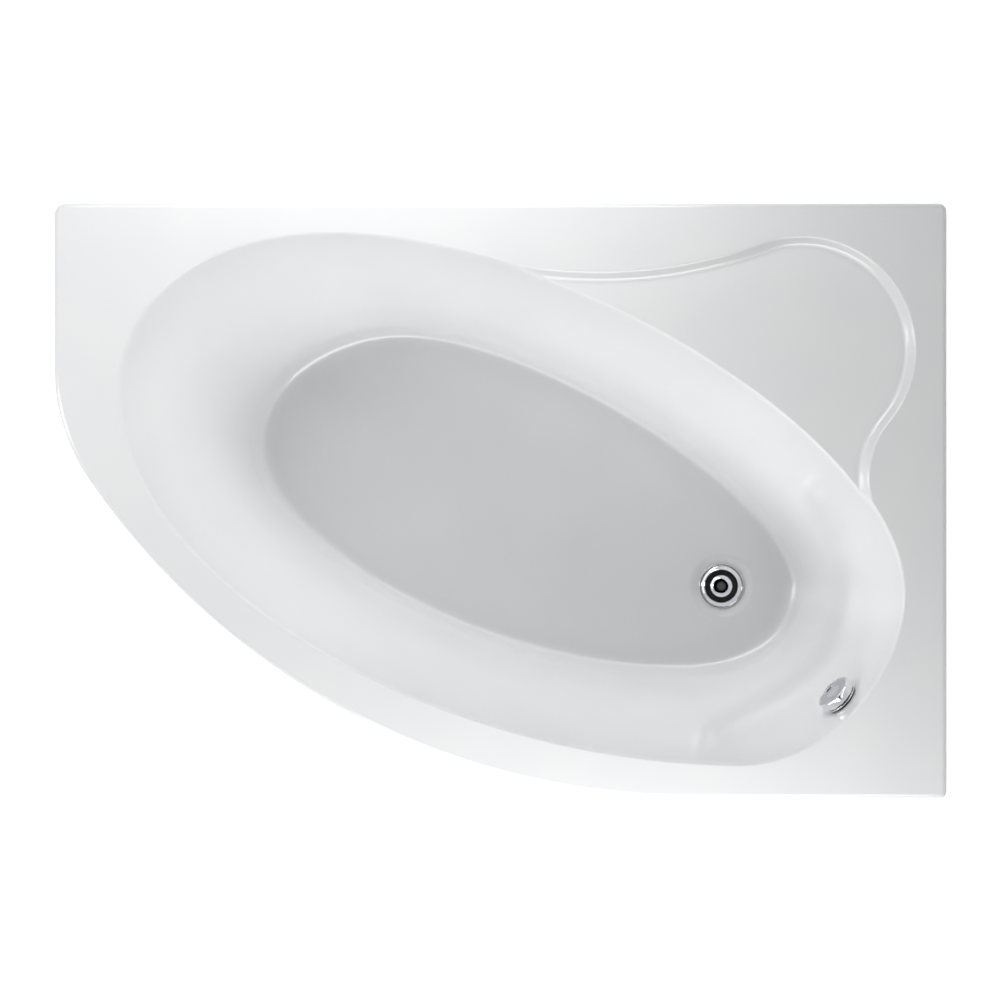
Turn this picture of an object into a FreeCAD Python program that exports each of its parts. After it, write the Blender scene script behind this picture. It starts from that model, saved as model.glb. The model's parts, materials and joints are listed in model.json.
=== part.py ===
import FreeCAD, Part
import math
import os

# A corner bathtub, seen from above: a straight back edge and a straight right edge stand against
# the two walls of a room corner, and the free edge sweeps round from the left end to the front.
# The sunken basin is drawn through four quarter curves at the rim and four at the floor, and a
# shallow shelf is sunk into the wide rim at the wall corner.
# Millimetres. X runs along the back wall, Y towards it, Z up. The origin is on the floor, under
# the middle of the 1500 x 1000 footprint.

V = FreeCAD.Vector

# ---- overall size ----
LENGTH = 1500.0
WIDTH = 1000.0
RIM_HEIGHT = 570.0

# ---- outline of the rim ----
FRONT_RADII = (336.0, 1246.0, 1189.0)
FRONT_TURNS = (34.6, 31.2, 24.2)
BACK_LEFT_RADIUS = 20.0
BACK_RIGHT_RADIUS = 14.0
FRONT_RIGHT_RADIUS = 12.0
LIP_HEIGHT = 40.0
RIM_ROUND = 8.0

# ---- walls of the shell ----
ACRYLIC = 5.0
BACKING = 4.0
BACKING_MARGIN = 3.0

# ---- basin: how far the rim-level opening stands in from each side, and where it turns ----
RIM_LEFT = 113.0
RIM_BACK = 54.0
RIM_RIGHT = 76.0
RIM_FRONT = 60.0
EDGE_LEFT_Y = 0.18 * WIDTH
EDGE_BACK_X = -0.18867 * LENGTH
EDGE_RIGHT_Y = -0.153 * WIDTH
EDGE_FRONT_X = 0.27 * LENGTH
EDGE_FULLNESS = (0.80, 0.46, 0.62, 0.59)

# ---- basin floor ----
FLOOR_CLEARANCE = 150.0
SLOPE_LEFT = 267.0
SLOPE_BACK = 186.0
SLOPE_RIGHT = 199.0
SLOPE_FRONT = 176.0
FLOOR_LEFT_Y = 0.083 * WIDTH
FLOOR_BACK_X = -0.09533 * LENGTH
FLOOR_RIGHT_Y = -0.138 * WIDTH
FLOOR_FRONT_X = 0.18533 * LENGTH
FLOOR_FULLNESS = (0.57, 0.33, 0.93, 0.51)

# ---- rolled edge at the top of the wall, cove at its foot ----
ROLL_OUT = 4.0
ROLL_DOWN = 8.0
UNDER_RIM_FLARE = 1.5
COVE_SHARE = 0.2
COVE_RISE = 25.0

# ---- corner shelf: a lobe, swept into the back edge and necked into the right wall ----
SHELF_DEPTH = 15.0
SHELF_STEP = 18.0
LOBE_RADIUS = 188.0
LOBE_FROM_RIGHT = 243.7
LOBE_FROM_BACK = 246.2
SWEEP_RADIUS = 806.0
SWEEP_BEARING = 110.0
SWEEP_END = -105.3
NECK_RADIUS = 146.0
NECK_BEARING = -40.0
NECK_END = 210.0

# ---- base board and rim battens ----
BOARD = 16.0
BOARD_INSET = 14.0
BOARD_CUTOUT_RADIUS = 72.0
BATTEN_WIDTH = 30.0
BATTEN_HEIGHT = 20.0
BATTEN_MARGIN = 4.0
BATTEN_END = 60.0
SHELF_PAD_SIZE = 110.0
SHELF_PAD_HEIGHT = 15.0

# ---- cradle rails, studs and feet ----
RAIL_WIDTH = 40.0
RAIL_HEIGHT = 30.0
RAIL_SHEET = 2.0
RAIL_LENGTH = 0.62 * WIDTH
RAIL_LEFT_X = -0.12667 * LENGTH
RAIL_LEFT_Y = 0.06 * WIDTH
RAIL_RIGHT_X = 0.15667 * LENGTH
RAIL_RIGHT_Y = -0.07 * WIDTH
LEG_FROM_RAIL_END = 35.0
RAIL_SCREW_SPACING = 110.0
STUD_RADIUS = 6.0
STUD_SPARE = 15.0
STUD_IN_FOOT = 14.0
STUD_CLEARANCE = 0.05
STUD_HOLE_PLAY = 0.5
NUT_ACROSS_FLATS = 19.0
NUT_HEIGHT = 10.0
FOOT_RADIUS = 27.0
FOOT_HEIGHT = 24.0
FOOT_PAD_HEIGHT = 6.0
FOOT_HUB_RADIUS = 13.0
FOOT_STEPS = 2
POST_SIZE = 25.0
POST_WALL = 2.0
POST_FROM_RIGHT = 180.0
POST_FROM_BACK = 190.0
POST_PLATE = 80.0
POST_PLATE_SHEET = 4.0
POST_BELOW_BOARD = 5.0
POST_INSERT = 20.0
POST_INSERT_FLANGE = 3.0
POST_SCREW_EDGE = 10.0

# ---- screws ----
SCREW_RADIUS = 2.0
SCREW_HEAD_RADIUS = 4.2
SCREW_HEAD_HEIGHT = 2.4
SCREW_LENGTH = 12.0
SCREW_SIDES = 12

# ---- brackets on the walls of the room ----
WALL_BRACKET_WIDTH = 45.0
WALL_BRACKET_SHEET = 3.0
WALL_BRACKET_DROP = 95.0
WALL_HOLE_RADIUS = 3.5
WALL_HOLE_SPACING = 50.0
WALL_HOLE_EDGE = 16.0
WALL_HOOK_RISE = 22.0
HOOK_GAP = 0.3
BACK_BRACKET_FROM_LEFT = 270.0
BACK_BRACKET_FROM_RIGHT = 490.0
RIGHT_BRACKET_FROM_FRONT = 440.0
TURN_OFF_BACK_WALL = 180.0
TURN_OFF_RIGHT_WALL = 90.0

# ---- apron ----
APRON_SHEET = 4.0
APRON_SETBACK = 4.0
APRON_FLANGE = 12.0
APRON_TOP_GAP = 2.0
APRON_BOTTOM_GAP = 4.0
APRON_WALL_GAP = 10.0
CATCH_SHEET = 2.5
CATCH_BOND = 0.5
CATCH_SIZE = 40.0
MAGNET_LENGTH = 13.0
MAGNET_RADIUS = 12.0
MAGNET_GAP = 0.3
MAGNET_BELOW_LIP = 40.0
APRON_BRACKET_WIDTH = 36.0
APRON_BRACKET_SHEET = 2.0
APRON_BRACKET_FOOT = 22.0

# ---- waste outlet in the floor ----
WASTE_FROM_FLOOR_END = 100.0
WASTE_BELOW_FLOOR_MIDDLE = 7.0
RECESS_DEPTH = 4.0
RECESS_RADIUS = 56.0
FLANGE_RADIUS = 37.5
FLANGE_THICK = 3.0
FLANGE_SEAT_DEPTH = 6.0
WASTE_TUBE_RADIUS = 24.5
WASTE_TUBE_WALL = 3.0
WASTE_TUBE_LENGTH = 29.0
WASTE_HOLE_CLEARANCE = 0.5
WASHER_THICK = 1.0
WASHER_RADIUS = 36.0
GASKET_THICK = 4.0
GASKET_RADIUS = 38.0
BODY_FLANGE_RADIUS = 40.0
BODY_FLANGE_THICK = 6.0
BODY_RADIUS = 33.0
BODY_WALL = 3.5
BODY_HEIGHT = 48.0
BODY_OUTLET_RADIUS = 21.0
BODY_OUTLET_WALL = 3.0
BODY_OUTLET_LENGTH = 12.5
BODY_COLLAR_LENGTH = 20.0
OUTLET_LIP_THICK = 3.0
PORT_START = 38.0
PORT_LENGTH = 16.0
PORT_RISE = 15.0

# ---- plug ----
CAP_RADIUS = 18.75
CAP_THICK = 3.0
CAP_DOME = 2.5
CAP_STEPS = 3
CAP_BEVEL = 0.6
SEAL_RADIUS = 27.0
SEAL_THICK = 4.5
SEAL_CLEARANCE = 0.35
STEM_RADIUS = 4.0
STEM_LENGTH = 46.0
STEM_CLEARANCE = 0.05
SPIDER_HUB_RADIUS = 7.0
SPIDER_HEIGHT = 8.0
SPIDER_ARM = 3.0
SPIDER_DROP = 14.0
LEVER_LENGTH = 22.0
LEVER_SIZE = 6.0
LEVER_GAP = 0.6
LEVER_PIN_RADIUS = 2.0
LEVER_PIN_CLEARANCE = 0.05

# ---- overflow in the end wall ----
QUARTERS = ("left_back", "back_right", "right_front", "front_left")
OVERFLOW_QUARTER = "right_front"
OVERFLOW_SHARE = 0.49
OVERFLOW_DEPTH = 64.0
OVERFLOW_HOLE_RADIUS = 24.0
FACE_SEAL_RADIUS = 29.0
FACE_SEAL_THICK = 3.5
FACE_RADIUS = 30.0
FACE_THICK = 2.5
FACE_SLOTS = 8
FACE_SLOT_WIDTH = 5.0
FACE_SLOT_START = 10.0
FACE_SLOT_END = 22.0
FACE_SCREW_REACH = 19.5
FACE_BOSS_RADIUS = 4.5
FACE_BOSS_LENGTH = 13.0
KNOB_RADIUS = 33.0
KNOB_LENGTH = 15.0
KNOB_GAP = 3.0
KNOB_LOBES = 8
KNOB_SIDE_BULGE = 1.2
KNOB_CORNER_ROUND = 2.5
KNOB_TOP_BEVEL = 1.4
KNOB_SKIRT_RADIUS = 27.5
KNOB_SKIRT_DEPTH = 9.0
KNOB_HUB_RADIUS = 9.0
KNOB_FACE_RADIUS = 26.0
KNOB_TOP_DEPTH = 1.2
SPINDLE_RADIUS = 4.0
SPINDLE_CLEARANCE = 0.05
CUP_FLANGE_RADIUS = 34.0
CUP_FLANGE_THICK = 4.0
CUP_RADIUS = 27.0
CUP_WALL = 3.0
CUP_DEPTH = 38.0
CUP_PORT_BELOW_TOP = 22.0
CUP_PORT_START = 40.0
BEARING_LENGTH = 5.0
CUP_GASKET_THICK = 4.0
CAM_RADIUS = 20.0
CAM_THICK = 5.0
CAM_GROOVE = 1.6

# ---- overflow hose and control cable ----
HOSE_RADIUS = 14.0
HOSE_RIB = 2.2
HOSE_BORE = 10.0
HOSE_PITCH = 20.0
PORT_WALL = 2.0
CABLE_RADIUS = 2.6
CABLE_SOCKET_RADIUS = 4.5
CABLE_WIRE_RADIUS = 1.0
CABLE_SIDE = 22.0
CABLE_SOCKET_INSET = 10.0

# ---- trap and outlet ----
TRAP_NUT_RADIUS = 29.0
TRAP_NUT_HEIGHT = 15.5
TRAP_NUT_TOP = 2.5
TRAP_SEAL_THICK = 1.5
TRAP_NUT_GRIPS = 10
TRAP_RADIUS = 37.0
TRAP_WALL = 3.0
TRAP_BELOW_BODY = 10.5
TRAP_BOTTOM = 14.0
TRAP_CAP_RADIUS = 24.0
TRAP_CAP_HEIGHT = 8.0
TRAP_CAP_WALL = 4.0
DIP_BELOW_OUTLET = 8.0
DIP_WALL = 2.5
OUTLET_RADIUS = 20.0
OUTLET_WALL = 2.0
OUTLET_LENGTH = 130.0
OUTLET_STEP = 0.8
OUTLET_PLAY = 0.1
OUTLET_SOCKET_LENGTH = 30.0
OUTLET_SOCKET_WALL = 3.5
OUTLET_SOCKET_DEPTH = 20.0
OUTLET_NUT_CAP = 2.5
OUTLET_NUT_RADIUS = 28.0
OUTLET_NUT_LENGTH = 20.0

# ---- levels worked out from the sizes above ----
LIP_BOTTOM = RIM_HEIGHT - LIP_HEIGHT
PLATE_BOTTOM = RIM_HEIGHT - ACRYLIC
BACKING_BOTTOM = PLATE_BOTTOM - BACKING
FLOOR_LEVEL = FLOOR_CLEARANCE
BASIN_DEPTH = RIM_HEIGHT - FLOOR_CLEARANCE
BOARD_TOP = FLOOR_LEVEL - ACRYLIC - BACKING
BOARD_BOTTOM = BOARD_TOP - BOARD
WALL_SKINS = ACRYLIC + BACKING
BACK_Y = WIDTH / 2
RIGHT_X = LENGTH / 2
LOBE_CENTRE = (RIGHT_X - LOBE_FROM_RIGHT, BACK_Y - LOBE_FROM_BACK)

STUD_LENGTH = BOARD_BOTTOM + NUT_HEIGHT + STUD_SPARE - FOOT_HEIGHT + STUD_IN_FOOT
POST_BOTTOM = BOARD_BOTTOM - POST_BELOW_BOARD
WASTE_X = RIGHT_X - RIM_RIGHT - SLOPE_RIGHT - WASTE_FROM_FLOOR_END
WASTE_Y = FLOOR_RIGHT_Y - WASTE_BELOW_FLOOR_MIDDLE
WASTE = (WASTE_X, WASTE_Y)
POST = (RIGHT_X - POST_FROM_RIGHT, BACK_Y - POST_FROM_BACK)
WASTE_SEAT = FLOOR_LEVEL - RECESS_DEPTH
WASTE_UNDERSIDE = WASTE_SEAT - WALL_SKINS
BODY_TOP = WASTE_UNDERSIDE - GASKET_THICK
PORT_LEVEL = BODY_TOP - BODY_HEIGHT + PORT_RISE
TUBE_FOOT = BODY_TOP - BODY_HEIGHT - BODY_OUTLET_LENGTH
STEM_FOOT = WASTE_SEAT + WASHER_THICK + FLANGE_THICK - STEM_LENGTH
LEVER_LEVEL = STEM_FOOT - LEVER_GAP - LEVER_SIZE + 0.6
CUP_PORT_DEPTH = -WALL_SKINS - CUP_GASKET_THICK - CUP_PORT_BELOW_TOP
PIPE_START = TRAP_RADIUS + OUTLET_SOCKET_LENGTH - OUTLET_SOCKET_DEPTH
TRAP_TOP = TUBE_FOOT - TRAP_BELOW_BODY
OUTLET_HEIGHT = (TRAP_TOP + TRAP_BOTTOM) / 2
DIP_FOOT = OUTLET_HEIGHT - DIP_BELOW_OUTLET

PARTS = {}


# ---------------------------------------------------------------- small helpers

def circle_at(angle, radius, centre=(0.0, 0.0)):
    """The point at an angle in degrees on a circle in plan."""
    turn = math.radians(angle)
    return (centre[0] + radius * math.cos(turn), centre[1] + radius * math.sin(turn))


def disc(radius, low, high, at=(0.0, 0.0)):
    return Part.makeCylinder(radius, high - low, V(at[0], at[1], low))


def tube(outer, inner, low, high, at=(0.0, 0.0)):
    return disc(outer, low, high, at).cut(disc(inner, low - 1, high + 1, at))


def block(x0, x1, y0, y1, z0, z1):
    return Part.makeBox(x1 - x0, y1 - y0, z1 - z0, V(x0, y0, z0))


def turned(points, at=(0.0, 0.0)):
    """A solid of revolution about the vertical through `at`, from (radius, height) points."""
    corners = [V(r + at[0], at[1], z) for r, z in points]
    face = Part.Face(Part.makePolygon(corners + corners[:1]))
    return face.revolve(V(at[0], at[1], 0), V(0, 0, 1), 360)


def prism(sides, across_flats, low, high, at=(0.0, 0.0)):
    radius = across_flats / 2 / math.cos(math.pi / sides)
    corners = [V(*circle_at(360.0 * i / sides, radius, at), low) for i in range(sides)]
    return Part.Face(Part.makePolygon(corners + corners[:1])).extrude(V(0, 0, high - low))


def arc_edge(centre, radius, start, end, z):
    """An arc in plan from one bearing to another, in degrees."""
    middle = (start + end) / 2
    points = [V(*circle_at(a, radius, centre), z) for a in (start, middle, end)]
    return Part.Arc(*points).toShape()


def line_edge(a, b, z):
    return Part.LineSegment(V(a[0], a[1], z), V(b[0], b[1], z)).toShape()


def fused(shapes):
    whole = shapes[0]
    if len(shapes) > 1:
        whole = whole.fuse(shapes[1:])
    return whole.removeSplitter()


def group(shapes):
    return shapes[0] if len(shapes) == 1 else Part.makeCompound(shapes)


def keep(name, shape):
    PARTS[name] = shape


# ---------------------------------------------------------------- outline of the rim

class Walk:
    """Straight runs and tangent arcs in plan, each starting where the last one ended."""

    def __init__(self, x, y, heading, z):
        self.x, self.y, self.heading, self.z = x, y, heading, z
        self.edges = []

    def run_to(self, x, y):
        self.edges.append(line_edge((self.x, self.y), (x, y), self.z))
        self.x, self.y = x, y

    def left(self, radius, turn):
        centre = circle_at(self.heading + 90, radius, (self.x, self.y))
        start = self.heading - 90
        self.edges.append(arc_edge(centre, radius, start, start + turn, self.z))
        self.x, self.y = circle_at(start + turn, radius, centre)
        self.heading += turn


def front_reach():
    """How far the three front arcs carry the edge along X and along -Y."""
    walk = Walk(0.0, 0.0, -90.0, 0.0)
    for radius, turn in zip(FRONT_RADII, FRONT_TURNS):
        walk.left(radius, turn)
    return walk.x, -walk.y


def outline(inset, z):
    """The rim's outline, stepped in evenly, as a closed wire at height z."""
    reach_x, reach_y = front_reach()
    left, right = -LENGTH / 2 + inset, LENGTH / 2 - inset
    back, front = WIDTH / 2 - inset, -WIDTH / 2 + inset
    curve_top = -WIDTH / 2 + reach_y
    walk = Walk(left, curve_top, -90.0, z)
    for radius, turn in zip(FRONT_RADII, FRONT_TURNS):
        walk.left(radius - inset, turn)
    corner = max(FRONT_RIGHT_RADIUS - inset, 0.5)
    walk.run_to(right - corner, front)
    walk.left(corner, 90)
    corner = max(BACK_RIGHT_RADIUS - inset, 0.5)
    walk.run_to(right, back - corner)
    walk.left(corner, 90)
    corner = max(BACK_LEFT_RADIUS - inset, 0.5)
    walk.run_to(left + corner, back)
    walk.left(corner, 90)
    walk.run_to(left, curve_top)
    return Part.Wire(walk.edges)


def slab(inset, low, high):
    """A flat plate of the rim's outline, stepped in by `inset`."""
    return Part.Face(outline(inset, low)).extrude(V(0, 0, high - low))


# ---------------------------------------------------------------- basin

def mixed(a, b, share):
    return a + (b - a) * share


def basin_box(share, growth):
    """Left, back, right and front limits of the basin at a share of the way down the slope."""
    left = -LENGTH / 2 + RIM_LEFT + SLOPE_LEFT * share - growth
    back = WIDTH / 2 - RIM_BACK - SLOPE_BACK * share + growth
    right = LENGTH / 2 - RIM_RIGHT - SLOPE_RIGHT * share + growth
    front = -WIDTH / 2 + RIM_FRONT + SLOPE_FRONT * share - growth
    return left, back, right, front


def quarter_poles(quarter, share, growth):
    """The four poles of one quarter curve. It runs between two extreme points of the opening and
    bulges towards the corner of its box by the quarter's fullness."""
    left, back, right, front = basin_box(share, growth)
    touch = [(left, mixed(EDGE_LEFT_Y, FLOOR_LEFT_Y, share)),
             (mixed(EDGE_BACK_X, FLOOR_BACK_X, share), back),
             (right, mixed(EDGE_RIGHT_Y, FLOOR_RIGHT_Y, share)),
             (mixed(EDGE_FRONT_X, FLOOR_FRONT_X, share), front)]
    corner = [(left, back), (right, back), (right, front), (left, front)][quarter]
    start, end = touch[quarter], touch[(quarter + 1) % 4]
    fullness = mixed(EDGE_FULLNESS[quarter], FLOOR_FULLNESS[quarter], share)
    pull = 4 * fullness / (3 * (1 + fullness))
    near_start = [mixed(start[i], corner[i], pull) for i in (0, 1)]
    near_end = [mixed(end[i], corner[i], pull) for i in (0, 1)]
    return [start, near_start, near_end, end]


def quarter_point(quarter, t, share, growth):
    poles = quarter_poles(quarter, share, growth)
    weights = [(1 - t) ** 3, 3 * t * (1 - t) ** 2, 3 * t ** 2 * (1 - t), t ** 3]
    return tuple(sum(w * pole[i] for w, pole in zip(weights, poles)) for i in (0, 1))


def basin_ring(share, growth, z):
    """The closed outline of the basin at one level: four quarter curves in a row."""
    edges = []
    for quarter in range(4):
        curve = Part.BezierCurve()
        curve.setPoles([V(x, y, z) for x, y in quarter_poles(quarter, share, growth)])
        edges.append(curve.toShape())
    return Part.Wire(edges)


def mean_slope():
    return (SLOPE_LEFT + SLOPE_BACK + SLOPE_RIGHT + SLOPE_FRONT) / 4


def wall_share(depth):
    """Share of the slope reached at a depth on the straight stretch of the wall."""
    return (1 - COVE_SHARE) * (depth - ROLL_DOWN) / (BASIN_DEPTH - COVE_RISE - ROLL_DOWN)


def wall_lean():
    """Lean of the straight wall from upright, in degrees, on an average side."""
    wall_drop = BASIN_DEPTH - COVE_RISE - ROLL_DOWN
    return math.degrees(math.atan2((1 - COVE_SHARE) * mean_slope(), wall_drop))


def roll_levels():
    """The rolled edge: share of the slope, growth in plan, depth and lean from upright."""
    levels = [(0.0, ROLL_OUT, 0.0, 90.0)]
    for part in (0.3, 1.0):
        flat = (1 - part) ** 2
        levels.append((0.0, ROLL_OUT * flat, ROLL_DOWN * part, 90 * flat + wall_lean() * (1 - flat)))
    return levels


def cove_levels():
    """The rounded foot of the wall, tangent to the wall and to the floor."""
    elbow = 1 - COVE_SHARE + COVE_RISE * (1 - COVE_SHARE) / (BASIN_DEPTH - COVE_RISE - ROLL_DOWN)
    top = BASIN_DEPTH - COVE_RISE
    levels = []
    for t in (0.0, 0.35, 0.7, 1.0):
        share = (1 - t) ** 2 * (1 - COVE_SHARE) + 2 * t * (1 - t) * elbow + t ** 2
        depth = (1 - t) ** 2 * top + (1 - (1 - t) ** 2) * BASIN_DEPTH
        run = 2 * (1 - t) * (elbow - 1 + COVE_SHARE) + 2 * t * (1 - elbow)
        drop = 2 * (1 - t) * COVE_RISE
        levels.append((share, 0.0, depth, math.degrees(math.atan2(run * mean_slope(), drop))))
    return levels


def skin_rings(levels, skin, ring):
    """The rings of some levels, moved out by `skin` square to the wall."""
    rings = []
    for share, growth, depth, lean in levels:
        out = skin * math.cos(math.radians(lean))
        down = skin * math.sin(math.radians(lean))
        rings.append(ring(share, growth + out, RIM_HEIGHT - depth - down))
    return rings


def basin_tool(skin):
    """The basin as a solid, its walls moved out by `skin`. The outside skins start straight under
    the rim plate, without the rolled edge."""
    roll = skin_rings(roll_levels(), skin, basin_ring)
    if skin > 0:
        flare = skin * math.cos(math.radians(wall_lean())) + UNDER_RIM_FLARE
        roll = [basin_ring(0.0, flare, RIM_HEIGHT - skin), roll[-1]]
    return Part.makeLoft(roll + skin_rings(cove_levels(), skin, basin_ring), True, True)


# ---------------------------------------------------------------- corner shelf

def shelf_levels():
    """Levels down the shelf's step, as on the basin, with no share of a slope."""
    steps = [(0.0, 0.0, 90.0), (0.2, 0.2, 50.0), (0.45, 0.53, 45.0), (0.72, 0.88, 62.0), (1.0, 1.0, 90.0)]
    return [(0.0, ROLL_OUT - (SHELF_STEP + ROLL_OUT) * across, SHELF_DEPTH * drop, lean)
            for across, drop, lean in steps]


def shelf_ring(share, growth, z):
    """The shelf's outline, closed by two straight runs inside the basin."""
    lobe = LOBE_RADIUS + growth
    sweep_centre = circle_at(SWEEP_BEARING, LOBE_RADIUS + SWEEP_RADIUS, LOBE_CENTRE)
    neck_centre = circle_at(NECK_BEARING, LOBE_RADIUS + NECK_RADIUS, LOBE_CENTRE)
    sweep = SWEEP_RADIUS - growth
    neck = NECK_RADIUS - growth
    edges = [arc_edge(sweep_centre, sweep, SWEEP_END, SWEEP_BEARING - 180, z),
             arc_edge(LOBE_CENTRE, lobe, SWEEP_BEARING, NECK_BEARING, z),
             arc_edge(neck_centre, neck, NECK_BEARING + 180, NECK_END, z)]
    start = circle_at(SWEEP_END, sweep, sweep_centre)
    end = circle_at(NECK_END, neck, neck_centre)
    inside = (LOBE_CENTRE[0] - 1.35 * LOBE_RADIUS, LOBE_CENTRE[1] - 1.05 * LOBE_RADIUS)
    edges.append(line_edge(end, inside, z))
    edges.append(line_edge(inside, start, z))
    return Part.Wire(edges)


def shelf_tool(skin):
    levels = shelf_levels()
    if skin > 0:
        levels = levels[1:]
    rings = skin_rings(levels, skin, shelf_ring)
    if skin > 0:
        first = levels[0]
        flare = first[1] + skin * math.cos(math.radians(first[3])) + UNDER_RIM_FLARE
        rings.insert(0, shelf_ring(0.0, flare, RIM_HEIGHT - skin))
    return Part.makeLoft(rings, True, True)


# ---------------------------------------------------------------- shell and backing

def recess_tool(skin):
    """The dished seat that the waste flange sits in."""
    floor = FLOOR_LEVEL - skin
    seat = FLANGE_RADIUS + 1.0
    cone = Part.makeCone(seat + skin * 0.4, RECESS_RADIUS + skin * 0.4, RECESS_DEPTH,
                         V(WASTE_X, WASTE_Y, floor - RECESS_DEPTH))
    return cone


def tub_tool(skin):
    return basin_tool(skin).fuse([shelf_tool(skin), recess_tool(skin)])


def overflow_frame():
    """Where the overflow's axis meets the inside of the end wall, and the frame there: local Z
    points into the basin square to the wall, local X lies level."""
    quarter = QUARTERS.index(OVERFLOW_QUARTER)

    def place(t, depth):
        x, y = quarter_point(quarter, t, wall_share(depth), 0.0)
        return V(x, y, RIM_HEIGHT - depth)
    step = 0.001
    spot = place(OVERFLOW_SHARE, OVERFLOW_DEPTH)
    along = place(OVERFLOW_SHARE + step, OVERFLOW_DEPTH) - place(OVERFLOW_SHARE - step, OVERFLOW_DEPTH)
    down = place(OVERFLOW_SHARE, OVERFLOW_DEPTH + 1) - place(OVERFLOW_SHARE, OVERFLOW_DEPTH - 1)
    z = along.cross(down)
    z.normalize()
    if z.z < 0:
        z = z * -1
    x = V(0, 0, 1).cross(z)
    x.normalize()
    y = z.cross(x)
    matrix = FreeCAD.Matrix(x.x, y.x, z.x, spot.x, x.y, y.y, z.y, spot.y, x.z, y.z, z.z, spot.z)
    return FreeCAD.Placement(matrix)


def on_overflow(shape):
    """Moves a shape built about the local Z axis onto the overflow's axis."""
    moved = shape.copy()
    moved.Placement = overflow_frame().multiply(moved.Placement)
    return moved


def shell_holes():
    waste = disc(WASTE_TUBE_RADIUS + WASTE_HOLE_CLEARANCE, BOARD_BOTTOM, FLOOR_LEVEL + WALL_SKINS, WASTE)
    overflow = on_overflow(disc(OVERFLOW_HOLE_RADIUS, -3 * WALL_SKINS, WALL_SKINS))
    return [waste, overflow]


def make_shell(cavity, acrylic_outer, backing_outer):
    plate = slab(0.0, LIP_BOTTOM, RIM_HEIGHT)
    top_edges = [e for e in plate.Edges
                 if all(abs(v.Z - RIM_HEIGHT) < 1e-6 for v in e.Vertexes)]
    plate = plate.makeFillet(min(RIM_ROUND, FRONT_RIGHT_RADIUS * 0.9), top_edges)
    tray = plate.cut(slab(ACRYLIC, LIP_BOTTOM - 1, PLATE_BOTTOM))
    shell = tray.fuse(acrylic_outer).cut(cavity).cut(Part.makeCompound(shell_holes()))
    keep("bath_shell", shell.removeSplitter())
    sheet = slab(ACRYLIC + BACKING_MARGIN, BACKING_BOTTOM, PLATE_BOTTOM)
    backing = sheet.fuse(backing_outer).cut(acrylic_outer)
    backing = backing.cut(Part.makeCompound(shell_holes() + apron_screws()))
    keep("glass_fibre_backing", backing.removeSplitter())


# ---------------------------------------------------------------- board, battens, shelf pad

def make_board():
    board = Part.Face(basin_ring(1.0, -BOARD_INSET, BOARD_BOTTOM)).extrude(V(0, 0, BOARD))
    board = board.cut(disc(BOARD_CUTOUT_RADIUS, BOARD_BOTTOM - 1, BOARD_TOP + 1, WASTE))
    keep("base_board", board.cut(group([s for s in rail_screws()])))


def make_battens():
    inset = ACRYLIC + BATTEN_MARGIN
    low = BACKING_BOTTOM - BATTEN_HEIGHT
    reach_x, _ = front_reach()
    x_end = RIGHT_X - inset - BATTEN_WIDTH - BATTEN_MARGIN
    back = block(-RIGHT_X + BATTEN_END, x_end, BACK_Y - inset - BATTEN_WIDTH, BACK_Y - inset,
                 low, BACKING_BOTTOM)
    right = block(RIGHT_X - inset - BATTEN_WIDTH, RIGHT_X - inset, -BACK_Y + inset, BACK_Y - inset,
                  low, BACKING_BOTTOM)
    front = block(-RIGHT_X + reach_x, x_end, -BACK_Y + inset, -BACK_Y + inset + BATTEN_WIDTH,
                  low, BACKING_BOTTOM)
    screws = group(apron_screws())
    keep("back_batten", back)
    keep("right_batten", right)
    keep("front_batten", front.cut(screws))


def shelf_underside():
    return RIM_HEIGHT - SHELF_DEPTH - WALL_SKINS


def make_shelf_pad():
    x, y = POST
    half = SHELF_PAD_SIZE / 2
    top = shelf_underside()
    pad = block(x - half, x + half, y - half, y + half, top - SHELF_PAD_HEIGHT, top)
    keep("shelf_pad", pad.cut(group(post_screws())))


# ---------------------------------------------------------------- screws and nuts

def screw(at, seat, length, down=False):
    """A hexagon-head screw. Its head rests on the level `seat` and its shank runs up, or down."""
    sign = -1 if down else 1
    shank_low, shank_high = sorted((seat, seat + sign * length))
    head_low, head_high = sorted((seat, seat - sign * SCREW_HEAD_HEIGHT))
    shank = prism(SCREW_SIDES, 2 * SCREW_RADIUS, shank_low, shank_high, at)
    head = prism(6, 2 * SCREW_HEAD_RADIUS, head_low, head_high, at)
    return head.fuse(shank).removeSplitter()


def nut(at, low):
    body = prism(6, NUT_ACROSS_FLATS, low, low + NUT_HEIGHT, at)
    return body.cut(disc(STUD_RADIUS + STUD_CLEARANCE, low - 1, low + NUT_HEIGHT + 1, at))


# ---------------------------------------------------------------- cradle rails

def rail_places():
    return (("left", RAIL_LEFT_X, RAIL_LEFT_Y), ("right", RAIL_RIGHT_X, RAIL_RIGHT_Y))


def rail_legs(x, y):
    reach = RAIL_LENGTH / 2 - LEG_FROM_RAIL_END
    return ((x, y - reach), (x, y + reach))


def rail_screws():
    seat = BOARD_BOTTOM - RAIL_SHEET
    return [screw((x, y + step * RAIL_SCREW_SPACING), seat, SCREW_LENGTH)
            for _, x, y in rail_places() for step in (-1, 0, 1)]


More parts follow.
